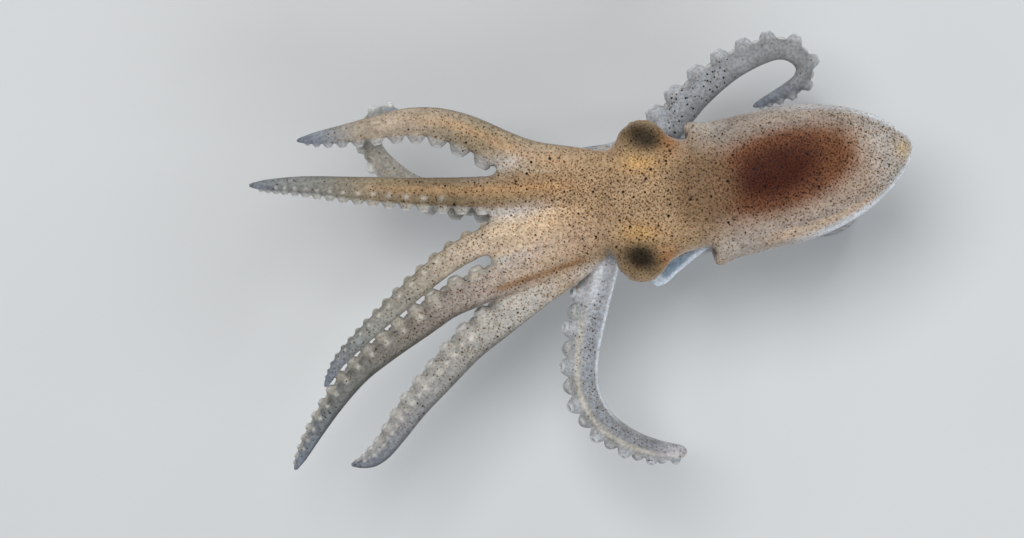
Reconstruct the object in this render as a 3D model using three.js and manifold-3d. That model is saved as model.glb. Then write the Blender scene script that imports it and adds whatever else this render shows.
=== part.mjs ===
// A small octopus, life size, held level on a plain two-rod display stand.
// Millimetres. +X runs from the neck to the mantle's tip, +Y is the animal's right, +Z is its back.
// The flesh is modelled whole and parted into named solids by thin cuts.
import * as THREE from "three";
import { mergeVertices } from "three/addons/utils/BufferGeometryUtils.js";
import Module from "manifold-3d";

const wasm = await Module();
wasm.setup();
const radians = THREE.MathUtils.degToRad;

// ---------------------------------------------------------------- driving dimensions
const CUT = 0.25; // width of the cut between two neighbouring solids
const BODY_HEIGHT = 14.5; // the body's axis above the floor

const MANTLE = {
  collar: [1.15, -0.3, 0], // middle of its open front edge
  yaw: 13.3, // it points a little to the animal's right, in degrees
  length: 15.95,
  halfWidth: 5.2,
  halfHeight: 4.2,
  fullUntil: 5.6, // full width from the collar to here, then it runs in to the tip
  tipPower: 0.64,
  flare: 0.3, // how far the collar's free edge stands out
  flareLength: 0.8,
  facetEase: 1.01, // its faceted outline is this much wider than the round one
  opening: { centre: [1.15, -0.3, -0.9], radii: [1.7, 4.4, 3.0] },
};
const HEAD = { centre: [-4.0, -0.7, 0], radii: [4.2, 4.3, 3.3] };
const NECK = { from: -3.2, to: 3.3, centre: [-0.25, 0.2], radii: [3.7, 3.1] }; // the part inside the mantle
// Sections of the nape and cheeks: place along it, its middle, half width, height above and depth below.
const NAPE = [
  [-4.6, -0.7, 4.2, 3.2, 3.0], [-3.2, -0.75, 4.6, 3.4, 3.1], [-2.1, -0.8, 4.9, 3.65, 3.15],
  [-1.2, -0.66, 4.55, 3.8, 3.1], [-0.4, -0.5, 4.2, 4.0, 3.1], [0.9, -0.25, 4.15, 4.2, 3.0],
  [1.9, 0, 4.15, 4.2, 2.9],
];
const NAPE_SQUARENESS = { above: 2.7, below: 2.2 }; // powers of its rounded outline; 2 is an ellipse
const EYE = {
  x: -3.6,
  y: -0.84, // midway between the two
  bulge: { out: 3.55, up: 0.6, radii: [2.28, 2.48, 2.28] },
  ball: { out: 4.6, up: 0.6, radius: 1.35 },
  opening: { out: 6.0, up: 0.4, radii: [0.9, 0.8, 0.58] },
};
const CROWN = { centre: [-7.7, -1.0, -0.6], radii: [2.7, 4.0, 2.8] };
const MOUTH = { centre: [-10.25, -1.0, -1.1], recess: 0.75, beak: 0.5 };
const FUNNEL = {
  route: [[2.8, -1.3, -1.9], [0.9, -2.9, -2.5], [-0.5, -4.3, -2.85], [-1.6, -5.5, -3.0], [-2.8, -6.8, -3.0]],
  rootRadius: 1.95,
  endRadius: 1.03,
  narrowedBy: 0.8, // it has its end radius from here on, as a share of its length
  bore: 0.42,
  boreFrom: 0.72,
  flaredMouth: 1.35, // widest part of the bore over the bore
};
const STAND = { length: 26, width: 9.4, thickness: 2.5, corner: 3, bevel: 0.3, centre: [0.6, -0.1], yaw: 8 };
const RODS = { stand_rod_mantle: [6.4, 1.2], stand_rod_head: [-4.2, -0.9] };
const ROD_RADIUS = 0.8;

// Each arm: its route from inside the crown to its tip, its radius at the root, the power its radius
// falls by, the share of its length held in the web, the side its suckers are on (+1 the left of the
// arm's own direction, -1 the right) and how far that side is turned up from level, in degrees.
// Its suckers start where the web ends, or at suckersFrom: cups is their radius over the arm's radius
// beside them, pitch the distance between two of one row and stalk their raised foot, in sucker radii.
// They are cut back where they would touch the arm named in clearOf.
const ARMS = {
  right_1: {
    route: [
      [-5.5, -0.1, 0.6], [-8.2, 0.1, 1.3], [-12, 0, 1.2], [-16.5, -0.2, 1.2], [-21, -0.1, 1.0],
      [-25.5, 0.15, 0.6], [-29.25, 0.38, 0.3], [-33.2, 0.33, 0.2],
    ],
    root: 1.45, power: 0.42, web: 0.4, side: 1, tilt: -36, cups: 0.42, pitch: 3.0, stalk: 0.2,
  },
  right_2: {
    route: [
      [-5.5, 0.9, 0.1], [-8.2, 1.6, 0.4], [-12, 2.3, 0.6], [-14.25, 3.25, 0.6], [-16.5, 4.25, 0.5],
      [-18.75, 4.95, 0.4], [-21, 5.1, 0.3], [-23.25, 4.75, 0.3], [-25.5, 4.28, 0.2], [-29.6, 3.66, 0],
    ],
    root: 1.75, power: 0.48, web: 0.41, side: 1, tilt: -38, cups: 0.48, pitch: 3.3, stalk: 0.2,
  },
  right_3: {
    route: [
      [-6.6, 0.4, -1.2], [-7.2, 1.2, -2.8], [-6.4, 2.1, -4.0], [-5.0, 2.6, -4.4], [-3.4, 3.2, -4.2],
      [-1.65, 4.65, -3.6], [0.75, 7.35, -2.9], [3.75, 9.6, -2.3], [6.75, 10.65, -2.1], [8.1, 10.2, -2.1],
      [8.7, 9.3, -2.1], [8.4, 8.35, -2.1], [7.4, 7.6, -2.1], [4.7, 6.25, -2.1],
    ],
    root: 1.45, power: 0.46, web: 0.12, side: 1, tilt: -32, cups: 0.56, pitch: 3.4, stalk: 0.5,
    suckersFrom: 0.27,
  },
  right_4: {
    route: [
      [-6.6, -0.3, -1.4], [-8.6, -0.4, -2.7], [-11.25, -0.6, -3.1], [-15, -0.7, -3.2], [-18.75, -0.4, -3.1],
      [-20.8, 0.2, -2.9], [-22.6, 1.5, -2.7], [-23.85, 3.1, -2.5], [-24.1, 4.5, -2.4], [-23.6, 5.55, -2.4],
      [-22.5, 5.85, -2.4], [-21.5, 5.25, -2.4], [-21.05, 4.0, -2.4],
    ],
    root: 1.5, power: 0.45, web: 0.24, side: 1, tilt: -25, cups: 0.44, pitch: 3.7, stalk: 0.2,
  },
  left_1: {
    route: [
      [-5.5, -1.2, 0.6], [-8.2, -1.9, 1.25], [-12.75, -3.0, 1.1], [-15.75, -4.0, 0.9], [-18, -5.25, 0.7],
      [-20.25, -7.05, 0.5], [-22.5, -9.1, 0.2], [-24.75, -11.25, 0], [-26.3, -12.9, -0.2],
      [-27.45, -14.9, -0.3],
    ],
    root: 1.25, power: 0.42, web: 0.42, side: -1, tilt: -68, cups: 0.45, pitch: 3.2, stalk: 0.2,
  },
  left_2: {
    route: [
      [-5.5, -2.2, 0.1], [-8.2, -3.9, 0.2], [-12.75, -6.15, 0], [-15.75, -7.5, -0.1], [-18, -8.5, -0.2],
      [-20.25, -10.13, -0.4], [-22.5, -11.78, -0.6], [-24.75, -13.65, -0.8], [-26.6, -15.9, -1.0],
      [-28.1, -18.2, -1.1], [-29.75, -21.15, -1.2],
    ],
    root: 1.4, power: 0.4, web: 0.39, side: -1, tilt: -20, cups: 0.5, pitch: 3.1, stalk: 0.2,
    clearOf: "left_1",
  },
  left_3: {
    route: [
      [-5.8, -2.4, -1.0], [-8.4, -5.2, -1.2], [-12, -8.03, -1.4], [-14.25, -9.9, -1.7], [-16.5, -11.8, -1.9],
      [-18.75, -14.25, -2.0], [-20.6, -16.35, -2.1], [-22.1, -18.4, -2.2], [-23.25, -19.85, -2.3],
      [-24.3, -20.5, -2.3], [-25.6, -20.7, -2.3],
    ],
    root: 1.45, power: 0.33, web: 0.35, side: -1, tilt: -14, cups: 0.53, pitch: 2.9, stalk: 0.2,
    suckersFrom: 0.375, taper: 0.26,
  },
  left_4: {
    route: [
      [-6.6, -1.4, -1.4], [-6.6, -2.8, -2.6], [-6.5, -5.0, -3.0], [-7.0, -7.5, -3.0], [-7.5, -9.75, -2.8],
      [-7.9, -12, -2.6], [-8.0, -13.5, -2.5], [-7.85, -15, -2.4], [-7.3, -16.4, -2.4], [-6.4, -17.6, -2.4],
      [-5.1, -18.55, -2.5], [-3.75, -19.2, -2.6], [-2.0, -19.65, -2.8], [-0.85, -19.75, -3.2],
      [-0.35, -19.75, -4.1],
    ],
    root: 1.42, power: 0.28, web: 0.17, side: -1, tilt: -8, cups: 0.45, pitch: 4.9, stalk: 0.5,
    suckersFrom: 0.25, taper: 1,
  },
};
// The webs between neighbouring arms, and how far along each of the two arms a web reaches.
const WEBS = [
  { arms: ["right_1", "right_2"], reach: [0.4, 0.41] },
  { arms: ["right_1", "left_1"], reach: [0.4, 0.42] },
  { arms: ["left_1", "left_2"], reach: [0.42, 0.39] },
  { arms: ["left_2", "left_3"], reach: [0.39, 0.35] },
  { arms: ["left_3", "left_4"], reach: [0.12, 0.15] },
  { arms: ["left_4", "right_4"], reach: [0.16, 0.2] },
  { arms: ["right_4", "right_3"], reach: [0.16, 0.11] },
  { arms: ["right_3", "right_2"], reach: [0.1, 0.14] },
];
// A web's half thickness, the dip of its free edge, the share where it starts and its facets.
const WEB = { half: 0.42, dip: 0.22, from: 0.02, along: 3, across: 2 };

const ARM_CUTS = [0.62, 0.82]; // where each arm is parted again, as shares of its length
const TIP_RADIUS = 0.27; // at an arm's very end
const TAPER = 0.22; // how fast an arm's radius grows from its tip
const ARM_SIDES = 7;
const RING_STEP = 1.9; // between two rings of an arm's surface, in arm radii
const FACET_EASE = 1.04; // a seven-sided arm is this much wider than the round one it stands for

const SUCKER = {
  height: 1.0, // of the rim above its foot, in sucker radii
  apart: 31, // how far each row is turned from the middle of the sucker side, in degrees
  foot: 1.2, // foot over rim
  sunk: 0.4, // how deep the foot stands in the arm, over the arm's radius
  dish: 0.35, // depth of the cup, in sucker radii
  least: 0.45, // suckers of a smaller radius are left out
  lastAt: 0.98,
  sides: 6,
};
const PIECE_MARGIN = 2.2; // no sucker stands nearer to a cut than this many cut widths

// How finely the round forms are faceted: sides around each, and rings along those that have two numbers.
const FACETS = {
  mantle: [18, 12], skull: [14, 9], bulge: [12, 8], ball: [12, 8], eyelids: [10, 6], crown: [12, 8],
  nape: 14, neck: 14, funnel: 10, bore: 8, mouth: [8, 6], beak: 8, rod: 16,
};
const TIP_CROWDING = 1.5; // rings crowd towards an arm's tip by this power
const SAME_POINT = 1e-4; // points nearer to each other than this are one

const COLOURS = {
  mantle: 0xa58b74, head: 0xb59a6c, crown: 0xbda27c, armUpper: 0xb8a68a, armLower: 0xb3b6ba,
  funnel: 0xaab0ba, eye: 0x1c1a18, beak: 0x3a2415, stand: 0x9a9c9e,
};

// ---------------------------------------------------------------- solids and meshes
function solidOf(geometry) {
  const bare = geometry.clone();
  bare.deleteAttribute("normal");
  bare.deleteAttribute("uv");
  const merged = mergeVertices(bare, SAME_POINT);
  return new wasm.Manifold(new wasm.Mesh({
    numProp: 3,
    vertProperties: new Float32Array(merged.attributes.position.array),
    triVerts: new Uint32Array(merged.index.array),
  }));
}

function geometryOf(solid) {
  const mesh = solid.getMesh();
  const geometry = new THREE.BufferGeometry();
  geometry.setAttribute("position", new THREE.BufferAttribute(mesh.vertProperties, mesh.numProp));
  geometry.setIndex(new THREE.BufferAttribute(mesh.triVerts, 1));
  geometry.computeVertexNormals();
  return geometry;
}

function joined(solids) {
  return solids.reduce((sum, solid) => sum.add(solid));
}

function ellipsoid([x, y, z], [rx, ry, rz], [around, along] = FACETS.skull) {
  const geometry = new THREE.SphereGeometry(1, around, along);
  return solidOf(geometry.scale(rx, ry, rz).translate(x, y, z));
}

function ball(centre, radius, facets = FACETS.ball) {
  return ellipsoid(centre, [radius, radius, radius], facets);
}

// ---------------------------------------------------------------- forms swept along a route
function curveThrough(route) {
  return new THREE.CatmullRomCurve3(route.map((p) => new THREE.Vector3(...p)), false, "centripetal");
}

// The frame at share u of a curve: the point, the way along, towards the sucker side, and across.
function frameAt(curve, u, side, tilt) {
  const point = curve.getPointAt(u);
  const along = curve.getTangentAt(u);
  const level = new THREE.Vector3(0, 0, 1).cross(along).normalize().multiplyScalar(side);
  const up = new THREE.Vector3().crossVectors(along, level).multiplyScalar(side);
  const oral = level.multiplyScalar(Math.cos(radians(tilt))).addScaledVector(up, Math.sin(radians(tilt)));
  const across = new THREE.Vector3().crossVectors(along, oral);
  return { point, along, oral, across };
}

// A closed round bar bent along a curve from share u0 to u1, its radius given by radiusAt(u).
function swept(curve, radiusAt, u0, u1, { side = 1, tilt = 0, sides = ARM_SIDES, toTip = false } = {}) {
  const rings = Math.ceil((curve.getLength() * (u1 - u0)) / RING_STEP / radiusAt((u0 + u1) / 2));
  const geometry = new THREE.CylinderGeometry(1, 1, 1, sides, rings);
  const at = geometry.attributes.position;
  for (let i = 0; i < at.count; i++) {
    const share = 0.5 - at.getY(i);
    const eased = toTip ? 1 - Math.pow(1 - share, TIP_CROWDING) : share;
    const u = u0 + (u1 - u0) * eased;
    const f = frameAt(curve, u, side, tilt);
    const r = radiusAt(u);
    const p = f.point.addScaledVector(f.oral, r * at.getZ(i)).addScaledVector(f.across, -r * at.getX(i));
    at.setXYZ(i, p.x, p.y, p.z);
  }
  return solidOf(geometry);
}

// A closed form through rings of points of equal count, its two ends flat.
function lofted(rings) {
  const count = rings[0].length;
  const middles = [rings[0], rings.at(-1)].map((ring) => {
    const sum = ring.reduce((total, p) => total.add(p), new THREE.Vector3());
    return sum.divideScalar(count);
  });
  const points = [...rings.flat(), ...middles];
  const index = [];
  for (let i = 0; i < rings.length - 1; i++) {
    for (let j = 0; j < count; j++) {
      const [a, b] = [i * count + j, i * count + ((j + 1) % count)];
      index.push(a, b, b + count, a, b + count, a + count);
    }
  }
  const [first, last] = [points.length - 2, points.length - 1];
  const lastRing = (rings.length - 1) * count;
  for (let j = 0; j < count; j++) {
    const k = (j + 1) % count;
    index.push(first, k, j, last, lastRing + j, lastRing + k);
  }
  const geometry = new THREE.BufferGeometry().setFromPoints(points);
  geometry.setIndex(index);
  return outwardSolid(geometry);
}

// The solid of a closed mesh, turned inside out if its faces look inward.
function outwardSolid(geometry) {
  const solid = solidOf(geometry);
  return solid.volume() > 0 ? solid : solidOf(turnedInsideOut(geometry));
}

function turnedInsideOut(geometry) {
  const index = geometry.index.array;
  for (let i = 0; i < index.length; i += 3) [index[i + 1], index[i + 2]] = [index[i + 2], index[i + 1]];
  return geometry;
}

// ---------------------------------------------------------------- mantle
function mantleHalfWidth(x) {
  const t = Math.max(0, x - MANTLE.fullUntil) / (MANTLE.length - MANTLE.fullUntil);
  const body = MANTLE.halfWidth * Math.pow(Math.max(0, 1 - t * t), MANTLE.tipPower);
  return body + MANTLE.flare * Math.exp(-Math.pow(x / MANTLE.flareLength, 2));
}

function mantleWhole(ease = 0) {
  const [around, steps] = FACETS.mantle;
  const profile = [new THREE.Vector2(0, -ease)];
  for (let i = 0; i <= steps; i++) {
    const x = MANTLE.length * Math.sin(((i / steps) * Math.PI) / 2);
    const r = i === steps ? 0 : mantleHalfWidth(x) * MANTLE.facetEase + ease;
    profile.push(new THREE.Vector2(r, i === 0 ? -ease : x));
  }
  const geometry = new THREE.LatheGeometry(profile, around);
  geometry.rotateZ(-Math.PI / 2);
  geometry.scale(1, 1, MANTLE.halfHeight / MANTLE.halfWidth);
  geometry.rotateZ(radians(MANTLE.yaw));
  geometry.translate(...MANTLE.collar);
  return solidOf(geometry);
}

// ---------------------------------------------------------------- head, eyes, funnel
const eyePoint = (side, { out, up }) => [EYE.x, EYE.y + side * out, up];

function nape(ease) {
  const around = FACETS.nape;
  const rings = NAPE.map(([x, y, halfWidth, above, below]) => Array.from({ length: around }, (_, i) => {
    const turn = (2 * Math.PI * i) / around;
    const [wide, tall] = [Math.cos(turn), Math.sin(turn)];
    const power = tall > 0 ? NAPE_SQUARENESS.above : NAPE_SQUARENESS.below;
    const reach = (Math.abs(wide) ** power + Math.abs(tall) ** power) ** (-1 / power);
    const height = (tall > 0 ? above : below) + ease;
    return new THREE.Vector3(x, y + reach * wide * (halfWidth + ease), reach * tall * height);
  }));
  return lofted(rings);
}

// The skull, the eyes' bulges and the part of the neck that goes into the mantle.
function skullAndNeck(ease) {
  const neck = new THREE.CylinderGeometry(1, 1, NECK.to - NECK.from, FACETS.neck)
    .rotateZ(Math.PI / 2)
    .scale(1, NECK.radii[0] + ease, NECK.radii[1] + ease)
    .translate((NECK.from + NECK.to) / 2 + ease, ...NECK.centre);
  const bulges = [1, -1].map((side) => {
    const radii = EYE.bulge.radii.map((r) => r + ease);
    return ellipsoid(eyePoint(side, EYE.bulge), radii, FACETS.bulge);
  });
  const skull = ellipsoid(HEAD.centre, HEAD.radii.map((r) => r + ease));
  return joined([skull, solidOf(neck), ...bulges]);
}

function wholeHead(ease) {
  return skullAndNeck(ease).add(nape(ease));
}

function head() {
  let solid = skullAndNeck(0).add(nape(0).subtract(mantleWhole(CUT)));
  for (const side of [1, -1]) {
    solid = solid.subtract(ball(eyePoint(side, EYE.ball), EYE.ball.radius + CUT));
    solid = solid.subtract(ellipsoid(eyePoint(side, EYE.opening), EYE.opening.radii, FACETS.eyelids));
  }
  return solid;
}

const funnelCurve = curveThrough(FUNNEL.route);

function funnelWhole(ease) {
  const { rootRadius, endRadius, narrowedBy } = FUNNEL;
  const radiusAt = (u) => THREE.MathUtils.lerp(rootRadius, endRadius, Math.min(1, u / narrowedBy)) + ease;
  return swept(funnelCurve, radiusAt, 0, 1, { sides: FACETS.funnel });
}

function funnel() {
  const bore = swept(funnelCurve, () => FUNNEL.bore, FUNNEL.boreFrom, 1, { sides: FACETS.bore });
  const mouth = ball(FUNNEL.route.at(-1), FUNNEL.bore * FUNNEL.flaredMouth, FACETS.mouth);
  return funnelWhole(0).subtract(bore).subtract(mouth).subtract(wholeHead(CUT));
}

function mantle() {
  const { centre, radii } = MANTLE.opening;
  const opening = ellipsoid(centre, radii);
  return mantleWhole().subtract(skullAndNeck(CUT)).subtract(funnelWhole(CUT)).subtract(opening);
}

// ---------------------------------------------------------------- arms and suckers
function armRadius(arm, u, length) {
  const full = arm.root * Math.pow(Math.max(0, 1 - u), arm.power);
  const nearTip = TIP_RADIUS + (arm.taper ?? TAPER) * (1 - u) * length;
  return Math.max(TIP_RADIUS, Math.min(full, nearTip)) * FACET_EASE;
}

function armLength(arm, u0, u1, ease = 0) {
  const curve = curveThrough(arm.route);
  const shape = { side: arm.side, tilt: arm.tilt, toTip: u1 === 1 };
  const length = curve.getLength();
  return swept(curve, (u) => armRadius(arm, u, length) + ease, u0, u1, shape);
}

// The suckers of an arm between two shares, in two rows that alternate.
function suckers(arm, u0, u1) {
  const curve = curveThrough(arm.route);
  const length = curve.getLength();
  const found = [];
  let row = 1;
  for (let u = arm.suckersFrom ?? arm.web; u < SUCKER.lastAt; row = -row) {
    const beside = armRadius(arm, u, length);
    const radius = arm.cups * beside;
    if (u > u0 && u < u1 && radius > SUCKER.least) found.push(sucker(arm, curve, u, row, beside, radius));
    u += (arm.pitch * radius) / 2 / length;
  }
  return found;
}

function sucker(arm, curve, u, row, beside, radius) {
  const { point, oral, across } = frameAt(curve, u, arm.side, arm.tilt);
  const turn = radians(SUCKER.apart) * row;
  const outward = oral.multiplyScalar(Math.cos(turn)).addScaledVector(across, Math.sin(turn));
  const sunk = SUCKER.sunk * beside;
  const height = (SUCKER.height + arm.stalk) * radius + sunk;
  const geometry = new THREE.CylinderGeometry(radius, radius * SUCKER.foot, height, SUCKER.sides);
  const at = geometry.attributes.position;
  for (let i = 0; i < at.count; i++) {
    const inMiddle = Math.hypot(at.getX(i), at.getZ(i)) < SAME_POINT;
    if (inMiddle && at.getY(i) > 0) at.setY(i, at.getY(i) - SUCKER.dish * radius);
  }
  geometry.applyQuaternion(new THREE.Quaternion().setFromUnitVectors(new THREE.Vector3(0, 1, 0), outward));
  const middle = point.addScaledVector(outward, beside - sunk + height / 2);
  return solidOf(geometry.translate(middle.x, middle.y, middle.z));
}

function armPieces(name, arm) {
  const gap = CUT / curveThrough(arm.route).getLength();
  const marks = [arm.web, ...ARM_CUTS, 1];
  const neighbour = arm.clearOf && armLength(ARMS[arm.clearOf], ARMS[arm.clearOf].web, 1, CUT);
  const pieces = {};
  ["base", "middle", "tip"].forEach((part, i) => {
    const from = marks[i] + gap / 2;
    const to = i === 2 ? 1 : marks[i + 1] - gap / 2;
    const margin = PIECE_MARGIN * gap;
    const piece = joined([armLength(arm, from, to), ...suckers(arm, from + margin, to - margin)]);
    pieces[`arm_${name}_${part}`] = neighbour ? piece.subtract(neighbour) : piece;
  });
  return pieces;
}

// ---------------------------------------------------------------- web and crown
// A sheet ruled between the centre lines of two arms; its free edge dips in the middle.
function web({ arms, reach }) {
  const curves = arms.map((name) => curveThrough(ARMS[name].route));
  const geometry = new THREE.BoxGeometry(1, 1, 1, WEB.across, 1, WEB.along);
  const at = geometry.attributes.position;
  for (let i = 0; i < at.count; i++) {
    const v = at.getX(i) + 0.5;
    const s = (at.getZ(i) + 0.5) * (1 - WEB.dip * Math.sin(Math.PI * v));
    const [a, b] = curves.map((curve, k) => curve.getPointAt(WEB.from + (reach[k] - WEB.from) * s));
    const p = a.clone().lerp(b, v);
    const level = b.clone().sub(a);
    const along = curves[0].getTangentAt(WEB.from + (reach[0] - WEB.from) * s);
    const normal = new THREE.Vector3().crossVectors(level, along).normalize();
    p.addScaledVector(normal, at.getY(i) * 2 * WEB.half);
    at.setXYZ(i, p.x, p.y, p.z);
  }
  return outwardSolid(geometry);
}

function crown() {
  const { centre, radii } = CROWN;
  const arms = Object.values(ARMS);
  const roots = arms.map((arm) => armLength(arm, 0, arm.web - CUT / 2 / curveThrough(arm.route).getLength()));
  let solid = joined([ellipsoid(centre, radii, FACETS.crown), ...roots, ...WEBS.map(web)]);
  for (const arm of arms) solid = solid.subtract(armLength(arm, arm.web, ARM_CUTS[0], CUT));
  return solid.subtract(wholeHead(CUT)).subtract(ball(MOUTH.centre, MOUTH.recess));
}

function beak() {
  const geometry = new THREE.ConeGeometry(MOUTH.beak, 2 * MOUTH.beak, FACETS.beak).rotateZ(Math.PI / 2);
  return solidOf(geometry.translate(...MOUTH.centre));
}

// ---------------------------------------------------------------- stand
function plate() {
  const { length, width, thickness, corner, bevel, centre, yaw } = STAND;
  const shape = new THREE.Shape();
  const x = length / 2;
  const y = width / 2;
  for (const [sx, sy, start] of [[1, 1, 0], [-1, 1, 90], [-1, -1, 180], [1, -1, 270]])
    shape.absarc(sx * (x - corner), sy * (y - corner), corner, radians(start), radians(start + 90));
  const geometry = new THREE.ExtrudeGeometry(shape, {
    depth: thickness - 2 * bevel, bevelThickness: bevel, bevelSize: bevel, bevelOffset: -bevel,
    bevelSegments: 1, curveSegments: 4,
  });
  geometry.rotateZ(radians(yaw)).translate(centre[0], centre[1], bevel - BODY_HEIGHT);
  return solidOf(geometry);
}

// A rod from just above the plate to just under the flesh, its top hollowed to the flesh's shape.
function rod([x, y], flesh) {
  const from = STAND.thickness - BODY_HEIGHT + CUT;
  const geometry = new THREE.CylinderGeometry(ROD_RADIUS, ROD_RADIUS, -from, FACETS.rod)
    .rotateX(Math.PI / 2)
    .translate(x, y, from / 2);
  return solidOf(geometry).subtract(flesh);
}

// ---------------------------------------------------------------- the whole model
function isUpper(name) {
  return !["right_3", "right_4", "left_4"].includes(name);
}

function model() {
  const solids = { mantle: [mantle(), COLOURS.mantle], head: [head(), COLOURS.head] };
  solids.funnel = [funnel(), COLOURS.funnel];
  solids.crown = [crown(), COLOURS.crown];
  solids.beak = [beak(), COLOURS.beak];
  solids.eye_right = [ball(eyePoint(1, EYE.ball), EYE.ball.radius), COLOURS.eye];
  solids.eye_left = [ball(eyePoint(-1, EYE.ball), EYE.ball.radius), COLOURS.eye];
  const headRoom = wholeHead(CUT);
  for (const [name, arm] of Object.entries(ARMS)) {
    const colour = isUpper(name) ? COLOURS.armUpper : COLOURS.armLower;
    for (const [piece, solid] of Object.entries(armPieces(name, arm)))
      solids[piece] = [solid.subtract(headRoom), colour];
  }
  solids.stand_base = [plate(), COLOURS.stand];
  const mantleLow = mantleWhole().add(mantleWhole().translate([0, 0, -CUT]));
  solids.stand_rod_mantle = [rod(RODS.stand_rod_mantle, mantleLow), COLOURS.stand];
  solids.stand_rod_head = [rod(RODS.stand_rod_head, headRoom), COLOURS.stand];
  return solids;
}

const group = new THREE.Group();
group.name = "octopus_on_stand";
for (const [name, [solid, colour]] of Object.entries(model())) {
  const metal = name.startsWith("stand_");
  const material = new THREE.MeshStandardMaterial({
    color: colour, roughness: metal ? 0.35 : 0.6, metalness: metal ? 1 : 0,
  });
  const mesh = new THREE.Mesh(geometryOf(solid), material);
  mesh.name = name;
  group.add(mesh);
}
// The origin is put under the middle of the whole, on the floor.
const box = new THREE.Box3().setFromObject(group);
const middle = box.getCenter(new THREE.Vector3());
for (const mesh of group.children) mesh.geometry.translate(-middle.x, -middle.y, -box.min.z);

export default group;
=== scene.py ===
"""A small octopus on a two-rod stand: one soft skin, suckers, eyes and beak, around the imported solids.

Shapes are worked out in millimetres in the animal's own axes: +X from the neck to the mantle's tip,
+Y the animal's right, +Z its back, and the neck at the origin. place() turns them into the frame's metres.
"""
import math
from collections import namedtuple

import bmesh
import bpy
import numpy as np
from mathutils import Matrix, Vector


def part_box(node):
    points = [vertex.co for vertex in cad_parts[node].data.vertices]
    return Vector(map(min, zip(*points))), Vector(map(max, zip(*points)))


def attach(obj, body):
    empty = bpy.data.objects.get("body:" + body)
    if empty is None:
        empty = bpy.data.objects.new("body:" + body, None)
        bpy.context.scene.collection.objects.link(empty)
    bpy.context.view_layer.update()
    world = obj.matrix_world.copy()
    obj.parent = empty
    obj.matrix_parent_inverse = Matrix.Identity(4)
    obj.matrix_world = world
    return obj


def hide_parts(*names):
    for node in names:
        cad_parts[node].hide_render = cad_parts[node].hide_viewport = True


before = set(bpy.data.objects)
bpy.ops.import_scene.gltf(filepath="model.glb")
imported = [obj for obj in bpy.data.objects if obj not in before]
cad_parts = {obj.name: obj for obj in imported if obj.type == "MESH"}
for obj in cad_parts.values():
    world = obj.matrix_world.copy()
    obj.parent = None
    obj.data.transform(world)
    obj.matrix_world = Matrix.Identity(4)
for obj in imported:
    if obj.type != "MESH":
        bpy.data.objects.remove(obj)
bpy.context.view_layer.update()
MM = 0.001

# ---------------------------------------------------------------- where the animal sits in the frame
STAND_CENTRE = (0.6, -0.1)  # the plate's middle in the animal's axes
BODY_HEIGHT = 14.5  # the body's axis above the floor
base_low, base_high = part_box("stand_base")
ORIGIN = np.array([
    (base_low.x + base_high.x) / 2 - STAND_CENTRE[0] * MM,
    (base_low.y + base_high.y) / 2 - STAND_CENTRE[1] * MM,
    base_low.z + BODY_HEIGHT * MM,
])

# ---------------------------------------------------------------- driving sizes, in millimetres
MANTLE = dict(
    collar=(1.15, -0.3, 0.0), yaw=13.3, length=16.0, half_width=5.22, half_height=4.2,
    full_until=5.4, tip_power=0.64, flare=0.3, flare_length=0.8, rim=0.45, cavity_depth=2.6, belly=1.015,
)
HEAD = dict(centre=(-4.0, -0.7, 0.0), radii=(4.3, 4.35, 3.35))
# Sections of the neck: place along it, its middle, half width, height above and depth below.
NAPE = [
    (-4.6, -0.7, 4.2, 3.2, 3.0), (-3.2, -0.75, 4.6, 3.4, 3.1), (-2.1, -0.8, 4.9, 3.65, 3.15),
    (-1.2, -0.66, 4.55, 3.8, 3.1), (-0.4, -0.5, 4.2, 4.0, 3.1), (0.9, -0.25, 4.1, 4.2, 3.0),
    (2.4, 0.15, 4.25, 4.28, 2.9), (4.2, 0.6, 4.1, 4.05, 2.8),
]
EYE = dict(
    x=-3.6, y=-0.84, bulge_out=3.55, bulge_up=0.6, bulge=2.25, bulge_reach=2.45, ball_out=4.6, ball_up=0.6,
    ball=1.2, droop=9, half_length=0.85, half_height=0.52,
)
CROWN = dict(centre=(-7.7, -1.0, -0.6), radii=(2.8, 4.1, 2.9))
MOUTH = dict(centre=(-10.25, -1.0, -1.1), lip=0.75, beak=0.5)
FUNNEL = dict(
    route=[(2.8, -1.3, -1.9), (0.9, -2.9, -2.5), (-0.5, -4.3, -2.85), (-1.6, -5.5, -3.0), (-2.8, -6.8, -3.0)],
    root=1.9, end=1.02, bore=0.4, bore_depth=1.7, rounding=1.15, lip=0.62,
)
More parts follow.
